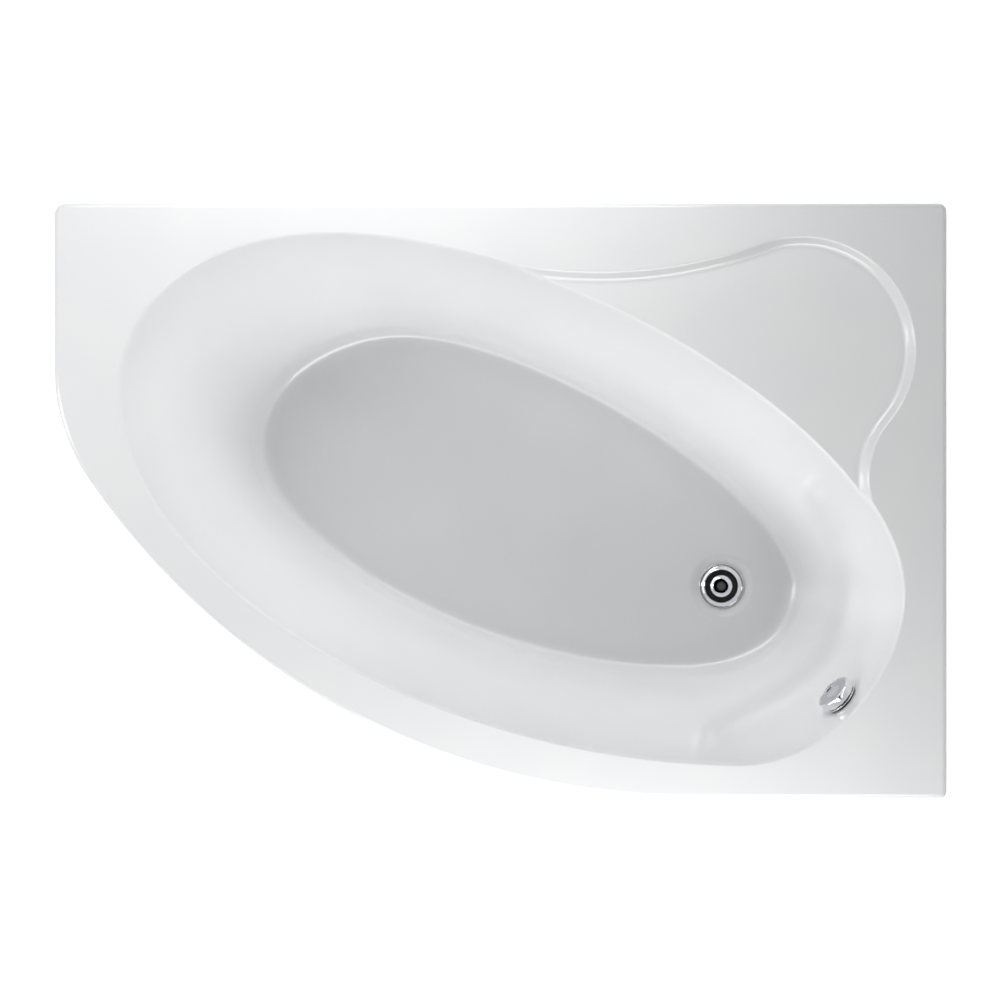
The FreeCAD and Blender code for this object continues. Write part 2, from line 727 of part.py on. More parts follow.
def make_rails():
    for name, x, y in rail_places():
        half = RAIL_WIDTH / 2
        ends = (y - RAIL_LENGTH / 2, y + RAIL_LENGTH / 2)
        low = BOARD_BOTTOM - RAIL_HEIGHT
        bar = block(x - half, x + half, ends[0], ends[1], low, BOARD_BOTTOM)
        inside = block(x - half + RAIL_SHEET, x + half - RAIL_SHEET, ends[0] - 1, ends[1] + 1,
                       low - 1, BOARD_BOTTOM - RAIL_SHEET)
        rail = bar.cut(inside)
        long_edges = [e for e in rail.Edges if e.Length > RAIL_LENGTH - 1
                      and abs(e.BoundBox.ZMin - BOARD_BOTTOM) < 1e-6]
        rail = rail.makeFillet(RAIL_SHEET, long_edges)
        holes = [disc(STUD_RADIUS + STUD_HOLE_PLAY, low, BOARD_BOTTOM + 1, at)
                 for at in rail_legs(x, y)]
        rail = rail.cut(holes).cut(rail_screws())
        keep("rail_" + name, rail)
    keep("rail_screws", group(rail_screws()))


# ---------------------------------------------------------------- legs

def leg_places():
    """Every leg: its name, its place and the underside of what its upper nut presses on."""
    legs = []
    for name, x, y in rail_places():
        front, back = rail_legs(x, y)
        legs.append((name + "_front", front))
        legs.append((name + "_back", back))
    legs.append(("corner", POST))
    return legs


def foot(at):
    """A moulded foot: a wide pad that curves in to a hub, with a socket for the stud."""
    pad_top = FOOT_PAD_HEIGHT
    profile = [(0, 0), (FOOT_RADIUS - 1.5, 0), (FOOT_RADIUS, 1.5), (FOOT_RADIUS, pad_top)]
    for step in range(1, FOOT_STEPS + 1):
        share = step / FOOT_STEPS
        radius = FOOT_HUB_RADIUS + (FOOT_RADIUS - FOOT_HUB_RADIUS) * (1 - share) ** 2
        profile.append((radius, pad_top + (FOOT_HEIGHT - 4 - pad_top) * share))
    profile += [(FOOT_HUB_RADIUS, FOOT_HEIGHT), (0, FOOT_HEIGHT)]
    body = turned(profile, at)
    return body.cut(disc(STUD_RADIUS, FOOT_HEIGHT - STUD_IN_FOOT, FOOT_HEIGHT + 1, at))


def stud(at):
    low = FOOT_HEIGHT - STUD_IN_FOOT
    bar = disc(STUD_RADIUS, low, low + STUD_LENGTH, at)
    ends = [e for e in bar.Edges if e.BoundBox.ZLength < 1e-6]
    return bar.makeChamfer(1.0, ends)


def make_legs():
    for name, at in leg_places():
        keep("foot_" + name, foot(at))
        keep("stud_" + name, stud(at))
    nuts = []
    web = BOARD_BOTTOM - RAIL_SHEET
    for name, at in leg_places()[:-1]:
        nuts.append(nut(at, web - NUT_HEIGHT))
        nuts.append(nut(at, BOARD_BOTTOM))
    nuts.append(nut(POST, POST_BOTTOM - POST_INSERT_FLANGE - NUT_HEIGHT))
    keep("lock_nuts", group(nuts))


def post_top():
    return shelf_underside() - SHELF_PAD_HEIGHT - POST_PLATE_SHEET


def post_screws():
    reach = POST_PLATE / 2 - POST_SCREW_EDGE
    return [screw((POST[0] + i * reach, POST[1] + j * reach), post_top(), SCREW_LENGTH)
            for i in (-1, 1) for j in (-1, 1)]


def square_bar(size, low, high):
    x, y = POST
    return block(x - size / 2, x + size / 2, y - size / 2, y + size / 2, low, high)


def make_post():
    tube_body = square_bar(POST_SIZE, POST_BOTTOM, post_top())
    inner = POST_SIZE - 2 * POST_WALL
    tube_body = tube_body.cut(square_bar(inner, POST_BOTTOM - 1, post_top() - POST_WALL))
    plate = square_bar(POST_PLATE, post_top(), post_top() + POST_PLATE_SHEET)
    corners = [e for e in plate.Edges if e.BoundBox.ZLength > POST_PLATE_SHEET / 2]
    plate = plate.makeFillet(POST_PLATE / 10, corners)
    post = tube_body.fuse(plate).cut(post_screws())
    keep("corner_post", post.removeSplitter())
    keep("post_screws", group(post_screws()))
    insert = square_bar(inner, POST_BOTTOM, POST_BOTTOM + POST_INSERT)
    insert = insert.fuse(square_bar(POST_SIZE, POST_BOTTOM - POST_INSERT_FLANGE, POST_BOTTOM))
    bore = disc(STUD_RADIUS + STUD_CLEARANCE, 0, POST_BOTTOM + POST_INSERT + 1, POST)
    keep("post_insert", insert.removeSplitter().cut(bore))


# ---------------------------------------------------------------- brackets on the room's walls

def wall_bracket():
    """A plate on the wall with a hook that the rim's lip hangs in. Local Y points into the room
    from the wall, and the lip's lower edge rests at the local height 0."""
    sheet, half = WALL_BRACKET_SHEET, WALL_BRACKET_WIDTH / 2
    reach = ACRYLIC + HOOK_GAP
    plate = block(-half, half, 0, sheet, -WALL_BRACKET_DROP, 0)
    corners = [e for e in plate.Edges if e.BoundBox.YLength > sheet / 2
               and abs(e.BoundBox.ZMin + WALL_BRACKET_DROP) < 1e-6]
    plate = plate.makeFillet(half / 3, corners)
    seat = block(-half, half, 0, reach + sheet, -sheet, 0)
    hook = block(-half, half, reach, reach + sheet, -sheet, WALL_HOOK_RISE)
    shape = fused([plate, seat, hook])
    first = -WALL_BRACKET_DROP + WALL_HOLE_EDGE
    for z in (first, first + WALL_HOLE_SPACING):
        shape = shape.cut(Part.makeCylinder(WALL_HOLE_RADIUS, 3 * sheet, V(0, -sheet, z), V(0, 1, 0)))
    return shape


def make_wall_brackets():
    places = [("back_left", -RIGHT_X + BACK_BRACKET_FROM_LEFT, BACK_Y, TURN_OFF_BACK_WALL),
              ("back_right", RIGHT_X - BACK_BRACKET_FROM_RIGHT, BACK_Y, TURN_OFF_BACK_WALL),
              ("right", RIGHT_X, -BACK_Y + RIGHT_BRACKET_FROM_FRONT, TURN_OFF_RIGHT_WALL)]
    for name, x, y, turn in places:
        shape = wall_bracket()
        shape.Placement = FreeCAD.Placement(V(x, y, LIP_BOTTOM), FreeCAD.Rotation(V(0, 0, 1), turn))
        keep("wall_bracket_" + name, shape)


# ---------------------------------------------------------------- apron

def front_station(arc, share):
    """A point on the outline's front curve and the bearing that points straight out there."""
    walk = Walk(-LENGTH / 2, -WIDTH / 2 + front_reach()[1], -90.0, 0.0)
    for index in range(arc):
        walk.left(FRONT_RADII[index], FRONT_TURNS[index])
    walk.left(FRONT_RADII[arc], FRONT_TURNS[arc] * share)
    return walk.x, walk.y, walk.heading - 90


def apron_stations():
    """Where the apron is held: place, outward bearing and the level its bracket hangs from."""
    curve_top = -WIDTH / 2 + front_reach()[1]
    left_y = mixed(curve_top, BACK_Y, 0.6)
    front_x = mixed(-LENGTH / 2 + front_reach()[0], RIGHT_X, 0.55)
    stations = [(-LENGTH / 2, left_y, 180.0, BACKING_BOTTOM)]
    for arc, share in ((0, 0.6), (1, 0.45), (2, 0.35)):
        x, y, bearing = front_station(arc, share)
        stations.append((x, y, bearing, BACKING_BOTTOM))
    stations.append((front_x, -WIDTH / 2, -90.0, BACKING_BOTTOM - BATTEN_HEIGHT))
    return stations


def at_station(station, shape):
    moved = shape.copy()
    place = FreeCAD.Placement(V(station[0], station[1], 0), FreeCAD.Rotation(V(0, 0, 1), station[2]))
    moved.Placement = place.multiply(moved.Placement)
    return moved


def catch_back():
    """Local X of the catch plate's inner face, counted outwards from the rim's outline."""
    return -(APRON_SETBACK + APRON_SHEET + CATCH_SHEET)


def bracket_face():
    return catch_back() - MAGNET_GAP - MAGNET_LENGTH


def magnet_level():
    return LIP_BOTTOM - MAGNET_BELOW_LIP


def apron_screws():
    """One screw through each hanging bracket's foot, up into what it hangs from."""
    screws = []
    for station in apron_stations():
        seat = station[3] - APRON_BRACKET_SHEET
        middle = bracket_face() - APRON_BRACKET_SHEET - APRON_BRACKET_FOOT / 2
        for side in (-1, 1):
            local = screw((middle, side * APRON_BRACKET_WIDTH / 4), seat,
                          APRON_BRACKET_SHEET + BACKING)
            screws.append(at_station(station, local))
    return screws


def make_apron():
    low, high = APRON_BOTTOM_GAP, LIP_BOTTOM - APRON_TOP_GAP
    outer, inner = APRON_SETBACK, APRON_SETBACK + APRON_SHEET
    flange = inner + APRON_FLANGE
    wall = slab(outer, low, high).cut(slab(inner, low - 1, high + 1))
    lower = slab(outer, low, low + APRON_SHEET).cut(slab(flange, low - 1, high))
    upper = slab(outer, high - APRON_SHEET, high).cut(slab(flange, low, high + 1))
    panel = wall.fuse([lower, upper])
    clear = flange + 1
    curve_top = -BACK_Y + front_reach()[1]
    panel = panel.cut([
        block(-RIGHT_X + clear, RIGHT_X + 1, curve_top, BACK_Y + 1, 0, RIM_HEIGHT),
        block(RIGHT_X - 2 * clear, RIGHT_X + 1, -BACK_Y + clear, BACK_Y, 0, RIM_HEIGHT),
        block(-RIGHT_X - 1, RIGHT_X + 1, BACK_Y - APRON_WALL_GAP, BACK_Y + 1, 0, RIM_HEIGHT),
        block(RIGHT_X - APRON_WALL_GAP, RIGHT_X + 1, -BACK_Y - 1, BACK_Y + 1, 0, RIM_HEIGHT)])
    keep("apron_panel", panel.removeSplitter())
    half = CATCH_SIZE / 2
    level = magnet_level()
    catch = block(catch_back(), -outer, -half, half, level - half, level + half)
    glued_on = slab(inner + CATCH_BOND, low, high)
    keep("catch_plates", group([at_station(s, catch).common(glued_on) for s in apron_stations()]))


def make_apron_brackets():
    brackets = []
    magnets = []
    half = APRON_BRACKET_WIDTH / 2
    face = bracket_face()
    back = face - APRON_BRACKET_SHEET
    for station in apron_stations():
        top = station[3]
        strip = block(back, face, -half, half, magnet_level() - half, top)
        shelf = block(back - APRON_BRACKET_FOOT, face, -half, half, top - APRON_BRACKET_SHEET, top)
        brackets.append(at_station(station, fused([strip, shelf])).cut(apron_screws()))
        magnet = Part.makeCylinder(MAGNET_RADIUS, MAGNET_LENGTH, V(face, 0, magnet_level()), V(1, 0, 0))
        magnets.append(at_station(station, magnet))
    keep("apron_brackets", group(brackets))
    keep("apron_magnets", group(magnets))
    keep("bracket_screws", group(apron_screws()))


# ---------------------------------------------------------------- waste in the floor

def hose_bearing():
    """Bearing in plan from the waste to the overflow cup, and the hose's lean up the wall."""
    cup = cup_centre()
    bearing = math.degrees(math.atan2(cup.y - WASTE_Y, cup.x - WASTE_X))
    lean = math.degrees(math.asin(overflow_frame().Rotation.multVec(V(0, 0, 1)).z))
    return bearing, lean


def in_waste_frame(shape):
    """Places a shape built about the local Z axis on the waste, local X towards the overflow."""
    moved = shape.copy()
    turn = FreeCAD.Rotation(V(0, 0, 1), hose_bearing()[0])
    moved.Placement = FreeCAD.Placement(V(WASTE_X, WASTE_Y, 0), turn).multiply(moved.Placement)
    return moved


def level_tube(radius, start, end, side, z):
    """A cylinder that lies along local X."""
    return Part.makeCylinder(radius, end - start, V(start, side, z), V(1, 0, 0))


def spider():
    """Three arms that carry the hub which the plug's stem slides in."""
    top = WASTE_SEAT - SPIDER_DROP
    low = top - SPIDER_HEIGHT
    shapes = [disc(SPIDER_HUB_RADIUS, low, top)]
    for i in range(3):
        arm = block(0, WASTE_TUBE_RADIUS - WASTE_TUBE_WALL / 2, -SPIDER_ARM / 2, SPIDER_ARM / 2, low, top)
        arm.rotate(V(0, 0, 0), V(0, 0, 1), 60 + 120 * i)
        shapes.append(arm)
    return shapes


def seat_slope():
    bore = WASTE_TUBE_RADIUS - WASTE_TUBE_WALL
    return (SEAL_RADIUS + SEAL_CLEARANCE - bore) / FLANGE_SEAT_DEPTH


def make_waste_flange():
    low = WASTE_SEAT + WASHER_THICK
    top = low + FLANGE_THICK
    bore = WASTE_TUBE_RADIUS - WASTE_TUBE_WALL
    foot_z = low - WASTE_TUBE_LENGTH
    profile = [(FLANGE_RADIUS, low), (FLANGE_RADIUS, top - 0.9), (FLANGE_RADIUS - 0.9, top),
               (SEAL_RADIUS + SEAL_CLEARANCE, top), (bore, top - FLANGE_SEAT_DEPTH), (bore, foot_z),
               (WASTE_TUBE_RADIUS, foot_z), (WASTE_TUBE_RADIUS, low)]
    flange = fused([turned(profile)] + spider())
    flange = flange.cut(disc(STEM_RADIUS + STEM_CLEARANCE, 0, top))
    keep("waste_flange", in_waste_frame(flange))
    hole = WASTE_TUBE_RADIUS + WASTE_HOLE_CLEARANCE
    keep("waste_washer", in_waste_frame(tube(WASHER_RADIUS, hole, WASTE_SEAT, low)))
    keep("waste_gasket", in_waste_frame(tube(GASKET_RADIUS, hole, BODY_TOP, WASTE_UNDERSIDE)))


def make_plug():
    seat = WASTE_SEAT + WASHER_THICK + FLANGE_THICK
    edge = seat + CAP_THICK
    dome = []
    for step in range(CAP_STEPS):
        reach = (CAP_RADIUS - CAP_BEVEL) * step / CAP_STEPS
        dome.append((reach, edge + CAP_DOME * (1 - (step / CAP_STEPS) ** 2)))
    cap = turned(dome + [(CAP_RADIUS - CAP_BEVEL, edge), (CAP_RADIUS, edge - CAP_BEVEL),
                         (CAP_RADIUS, seat), (0, seat)])
    keep("plug_cap", in_waste_frame(cap))
    foot_radius = SEAL_RADIUS - seat_slope() * SEAL_THICK
    seal = turned([(STEM_RADIUS, seat - SEAL_THICK), (foot_radius, seat - SEAL_THICK),
                   (SEAL_RADIUS, seat), (STEM_RADIUS, seat)])
    keep("plug_seal", in_waste_frame(seal))
    keep("plug_stem", in_waste_frame(disc(STEM_RADIUS, seat - STEM_LENGTH, seat)))


def lever_pin():
    z = LEVER_LEVEL
    half = math.sqrt((BODY_RADIUS - BODY_WALL / 2) ** 2 - LEVER_LENGTH ** 2)
    return Part.makeCylinder(LEVER_PIN_RADIUS, 2 * half, V(-LEVER_LENGTH, -half, z), V(0, 1, 0))


def make_lever():
    half = LEVER_SIZE / 2
    top = STEM_FOOT - LEVER_GAP
    bar = block(-LEVER_LENGTH, STEM_RADIUS / 2, -half, half, top - LEVER_SIZE, top)
    eye = Part.makeCylinder(half * 1.4, LEVER_SIZE, V(-LEVER_LENGTH, -half, LEVER_LEVEL), V(0, 1, 0))
    bore = Part.makeCylinder(LEVER_PIN_RADIUS + LEVER_PIN_CLEARANCE, 4 * LEVER_SIZE,
                             V(-LEVER_LENGTH, -2 * LEVER_SIZE, LEVER_LEVEL), V(0, 1, 0))
    keep("lift_lever", in_waste_frame(fused([bar, eye]).cut(bore)))
    keep("lever_pin", in_waste_frame(lever_pin()))


def make_waste_body():
    low = BODY_TOP - BODY_HEIGHT
    bore = BODY_RADIUS - BODY_WALL
    collar_low = BODY_TOP - BODY_COLLAR_LENGTH
    foot_z = low - BODY_OUTLET_LENGTH
    outlet = BODY_OUTLET_RADIUS - BODY_OUTLET_WALL
    lip = BODY_OUTLET_RADIUS + BODY_OUTLET_WALL - 0.2
    profile = [(WASTE_TUBE_RADIUS, BODY_TOP), (BODY_FLANGE_RADIUS, BODY_TOP),
               (BODY_FLANGE_RADIUS, BODY_TOP - BODY_FLANGE_THICK),
               (BODY_RADIUS, BODY_TOP - BODY_FLANGE_THICK), (BODY_RADIUS, low),
               (BODY_OUTLET_RADIUS, low), (BODY_OUTLET_RADIUS, foot_z + OUTLET_LIP_THICK),
               (lip, foot_z + OUTLET_LIP_THICK), (lip, foot_z), (outlet, foot_z),
               (outlet, low + BODY_WALL), (bore, low + BODY_WALL), (bore, collar_low),
               (WASTE_TUBE_RADIUS, collar_low)]
    body = turned(profile)
    z = PORT_LEVEL
    port_end = PORT_START + PORT_LENGTH
    collar = level_tube(HOSE_RADIUS, bore, PORT_START, 0, z)
    spigot = level_tube(HOSE_BORE, bore, port_end, 0, z)
    socket = level_tube(CABLE_SOCKET_RADIUS, BODY_RADIUS * 0.6, PORT_START, CABLE_SIDE, z)
    inside = disc(bore - 0.01, low + BODY_WALL, collar_low)
    extras = collar.fuse([spigot, socket]).cut(inside)
    body = body.fuse(extras)
    body = body.cut([level_tube(HOSE_BORE - PORT_WALL, 0, port_end + 1, 0, z),
                     level_tube(CABLE_WIRE_RADIUS, BODY_RADIUS * 0.5, PORT_START + 1, CABLE_SIDE, z),
                     lever_pin()])
    keep("waste_body", in_waste_frame(body.removeSplitter()))


# ---------------------------------------------------------------- overflow in the end wall

def cup_centre():
    """The point on the overflow's axis where the hose and the cable leave the cup."""
    return overflow_frame().multVec(V(0, 0, CUP_PORT_DEPTH))


def make_overflow_cup(backing_outer):
    top = -WALL_SKINS - CUP_GASKET_THICK
    gasket = tube(CUP_FLANGE_RADIUS - 1, OVERFLOW_HOLE_RADIUS + 1, top, 0)
    gasket = on_overflow(gasket).cut(backing_outer)
    keep("overflow_gasket", max(gasket.Solids, key=lambda s: s.Volume))
    low = top - CUP_DEPTH
    bore = CUP_RADIUS - CUP_WALL
    profile = [(bore, top), (CUP_FLANGE_RADIUS, top), (CUP_FLANGE_RADIUS, top - CUP_FLANGE_THICK),
               (CUP_RADIUS, top - CUP_FLANGE_THICK), (CUP_RADIUS, low), (0, low),
               (0, low + CUP_WALL), (bore, low + CUP_WALL)]
    cup = turned(profile)
    boss_top = top - 1
    bosses = [disc(FACE_BOSS_RADIUS, boss_top - FACE_BOSS_LENGTH, boss_top, (0, side * FACE_SCREW_REACH))
              for side in (-1, 1)]
    bearing = tube(SPINDLE_RADIUS + CUP_WALL, SPINDLE_RADIUS + SPINDLE_CLEARANCE,
                   low + CUP_WALL, low + CUP_WALL + BEARING_LENGTH)
    cup = cup.fuse([b.common(disc(bore + 1, low, top)) for b in bosses] + [bearing])
    cup = on_overflow(cup)
    axis = hose_down()
    centre = cup_centre()
    side = cable_offset()
    collar = Part.makeCylinder(HOSE_RADIUS, CUP_PORT_START, centre, axis)
    spigot = Part.makeCylinder(HOSE_BORE, CUP_PORT_START + PORT_LENGTH, centre, axis)
    socket = Part.makeCylinder(CABLE_SOCKET_RADIUS, CUP_PORT_START - CABLE_SOCKET_INSET,
                               centre + side + axis * CABLE_SOCKET_INSET, axis)
    inside = on_overflow(disc(bore - 0.01, low + CUP_WALL, top + 1))
    ports = collar.fuse([spigot, socket]).cut(inside)
    cup = cup.fuse(ports)
    bore_cut = Part.makeCylinder(HOSE_BORE - PORT_WALL, CUP_PORT_START + PORT_LENGTH + 1,
                                 centre + axis * (SPINDLE_RADIUS + 2 * CUP_WALL), axis)
    wire_cut = Part.makeCylinder(CABLE_WIRE_RADIUS, CUP_PORT_START + 1, centre + side, axis)
    cup = cup.cut([bore_cut, wire_cut] + [on_overflow(s) for s in face_screws()])
    keep("overflow_cup", max(cup.removeSplitter().Solids, key=lambda s: s.Volume))


def face_screws():
    seat = FACE_SEAL_THICK + FACE_THICK
    length = seat + WALL_SKINS + CUP_GASKET_THICK + FACE_BOSS_LENGTH - 2
    return [screw((0, side * FACE_SCREW_REACH), seat, length, down=True) for side in (-1, 1)]


def make_overflow_face(cavity):
    seal = tube(FACE_SEAL_RADIUS, OVERFLOW_HOLE_RADIUS, -FACE_SEAL_THICK, FACE_SEAL_THICK)
    seal = on_overflow(seal).common(cavity)
    keep("overflow_seal", max(seal.Solids, key=lambda s: s.Volume))
    top = FACE_SEAL_THICK + FACE_THICK
    plate = disc(FACE_RADIUS, FACE_SEAL_THICK, top)
    slots = []
    for i in range(FACE_SLOTS):
        half = FACE_SLOT_WIDTH / 2
        slot = block(FACE_SLOT_START, FACE_SLOT_END, -half, half, 0, top + 1)
        slot.rotate(V(0, 0, 0), V(0, 0, 1), (i + 0.5) * 360.0 / FACE_SLOTS)
        slots.append(slot)
    plate = plate.cut(slots + [disc(SPINDLE_RADIUS + SPINDLE_CLEARANCE, 0, top + 1)])
    plate = plate.cut(face_screws())
    keep("overflow_face", on_overflow(plate))
    keep("face_screws", group([on_overflow(s) for s in face_screws()]))


def knob_outline(low):
    """Eight shallow convex sides that meet at soft corners."""
    edges = []
    sag = KNOB_RADIUS * math.cos(math.pi / KNOB_LOBES) + KNOB_SIDE_BULGE
    for i in range(KNOB_LOBES):
        start, middle, end = [(i + part) * 360.0 / KNOB_LOBES for part in (0, 0.5, 1)]
        edges.append(Part.Arc(V(*circle_at(start, KNOB_RADIUS), low), V(*circle_at(middle, sag), low),
                              V(*circle_at(end, KNOB_RADIUS), low)).toShape())
    return Part.Wire(edges)


def make_knob():
    low = FACE_SEAL_THICK + FACE_THICK + KNOB_GAP
    top = low + KNOB_LENGTH
    knob = Part.Face(knob_outline(low)).extrude(V(0, 0, KNOB_LENGTH))
    upright = [e for e in knob.Edges if abs(e.BoundBox.ZLength - KNOB_LENGTH) < 1e-3]
    knob = knob.makeFillet(KNOB_CORNER_ROUND, upright)
    crown = [e for e in knob.Edges if e.BoundBox.ZMin > top - 1e-3]
    knob = knob.makeChamfer(KNOB_TOP_BEVEL, crown)
    skirt = disc(KNOB_SKIRT_RADIUS, low - 1, low + KNOB_SKIRT_DEPTH)
    hub = disc(KNOB_HUB_RADIUS, low, low + KNOB_SKIRT_DEPTH)
    knob = knob.cut(skirt).fuse(hub)
    recess = disc(KNOB_FACE_RADIUS, top - KNOB_TOP_DEPTH, top + 1)
    bore = disc(SPINDLE_RADIUS, low - 1, top - KNOB_TOP_DEPTH - 2)
    grub_level = low + KNOB_SKIRT_DEPTH / 2
    grub = Part.makeCylinder(SCREW_RADIUS, KNOB_HUB_RADIUS - SPINDLE_RADIUS, V(0, -SPINDLE_RADIUS, grub_level),
                             V(0, -1, 0))
    access = Part.makeCylinder(SCREW_RADIUS + 0.3, KNOB_RADIUS, V(0, -KNOB_HUB_RADIUS, grub_level),
                               V(0, -1, 0))
    spindle_low = -WALL_SKINS - CUP_GASKET_THICK - CUP_DEPTH + CUP_WALL + 0.2
    cam_low = CUP_PORT_DEPTH - CAM_THICK / 2
    spindle = disc(SPINDLE_RADIUS, spindle_low, top - KNOB_TOP_DEPTH - 2)
    cam = disc(CAM_RADIUS, cam_low, cam_low + CAM_THICK)
    groove = tube(CAM_RADIUS + 1, CAM_RADIUS - CAM_GROOVE, CUP_PORT_DEPTH - CAM_GROOVE / 2,
                  CUP_PORT_DEPTH + CAM_GROOVE / 2)
    keep("overflow_knob", on_overflow(knob.cut([recess, bore, grub, access]).removeSplitter()))
    keep("knob_face", on_overflow(disc(KNOB_FACE_RADIUS, top - KNOB_TOP_DEPTH, top)))
    keep("knob_grub_screw", on_overflow(grub.cut(disc(SPINDLE_RADIUS, 0, top))))
    keep("knob_spindle", on_overflow(spindle.fuse(cam).cut(groove).removeSplitter()))


# ---------------------------------------------------------------- overflow hose and control cable

def hose_down():
    """The direction in which the hose leaves the cup: down the wall, in the hose's own plane."""
    bearing, lean = hose_bearing()
    x, y = circle_at(bearing, math.sin(math.radians(lean)))
    return V(-x, -y, -math.cos(math.radians(lean)))


def cable_offset():
    """The cable runs beside the hose, level with it."""
    x, y = circle_at(hose_bearing()[0] + 90, CABLE_SIDE)
    return V(x, y, 0)


def hose_path(side):
    """Straight out of the waste body, round one large arc, and straight up the wall to the cup.
    Returns the four points and the arc's radius."""
    bearing, lean = hose_bearing()
    out = V(*circle_at(bearing, 1.0), 0)
    start = V(WASTE_X, WASTE_Y, PORT_LEVEL) + out * PORT_START + side
    end = cup_centre() + hose_down() * CUP_PORT_START + side
    up = hose_down() * -1
    rise = end.z - start.z
    corner = end - up * (rise / up.z)
    turn = 90 - lean
    reach = (corner - start).dot(out) - 2 * HOSE_RADIUS
    bend = reach / math.tan(math.radians(turn / 2))
    return start, corner - out * reach, corner + up * reach, end, corner, bend


def path_point(path, along):
    """The point and direction at a distance along a hose path."""
    start, leave, join, end, corner, bend = path
    first = (leave - start).Length
    out = (leave - start).normalize()
    up = (end - join).normalize()
    turn = math.acos(out.dot(up))
    if along <= first:
        return start + out * along, out
    if along <= first + bend * turn:
        angle = (along - first) / bend
        square = up - out * out.dot(up)
        square.normalize()
        centre = leave + square * bend
        place = centre + out * (bend * math.sin(angle)) - square * (bend * math.cos(angle))
        return place, out * math.cos(angle) + square * math.sin(angle)
    return join + up * (along - first - bend * turn), up


def path_length(path):
    start, leave, join, end, corner, bend = path
    turn = math.acos((leave - start).normalize().dot((end - join).normalize()))
    return (leave - start).Length + bend * turn + (end - join).Length


def round_bar(path, radius):
    """A plain round bar along a hose path, swept through its run, arc and run."""
    start, leave, join, end, corner, bend = path
    length = path_length(path)
    middle = path_point(path, (leave - start).Length + (length - (leave - start).Length
                                                         - (end - join).Length) / 2)[0]
    spine = Part.Wire([Part.makeLine(start, leave), Part.Arc(leave, middle, join).toShape(),
                       Part.makeLine(join, end)])
    face = Part.Face(Part.Wire([Part.Circle(start, leave - start, radius).toShape()]))
    return spine.makePipe(face)


def steady_circle(place, direction, radius):
    """A circle square to the path whose seam keeps to one side of the hose's plane."""
    circle = Part.Circle(place, direction, radius)
    circle.XAxis = cable_offset()
    return Part.Wire([circle.toShape()])


def make_hose():
    path = hose_path(V(0, 0, 0))
    length = path_length(path)
    plain = 2 * HOSE_RADIUS
    count = int((length - 2 * plain) / HOSE_PITCH)
    pitch = (length - 2 * plain) / count
    marks = [(0.0, HOSE_RADIUS)]
    for i in range(count):
        base = plain + i * pitch
        for part, rise in ((0.15, 0.0), (0.35, HOSE_RIB), (0.65, HOSE_RIB), (0.85, 0.0)):
            marks.append((base + part * pitch, HOSE_RADIUS + rise))
    marks.append((length, HOSE_RADIUS))
    rings = [steady_circle(*path_point(path, along), radius) for along, radius in marks]
    hose = Part.makeLoft(rings, True, True)
    hose = hose.cut(round_bar(path, HOSE_BORE))
    keep("overflow_hose", hose)
    print("hose length", round(length, 1), "ribs", count, "bend radius", round(path[5], 1))
    cable_path = hose_path(cable_offset())
    cable = round_bar(cable_path, CABLE_RADIUS)
    keep("control_cable", cable)
    print("cable volume", round(cable.Volume, 1), "section x length",
          round(math.pi * CABLE_RADIUS ** 2 * path_length(cable_path), 1))


# ---------------------------------------------------------------- trap and outlet

def in_trap_frame(shape):
    moved = shape.copy()
    moved.translate(V(WASTE_X, WASTE_Y, 0))
    return moved


def gripped(radius, low, high, grips):
    """A round nut with shallow grips cut into its side."""
    body = disc(radius, low, high)
    cuts = [disc(radius * 0.11, low - 1, high + 1, circle_at(360.0 * i / grips, radius * 1.03))
            for i in range(grips)]
    return body.cut(cuts)


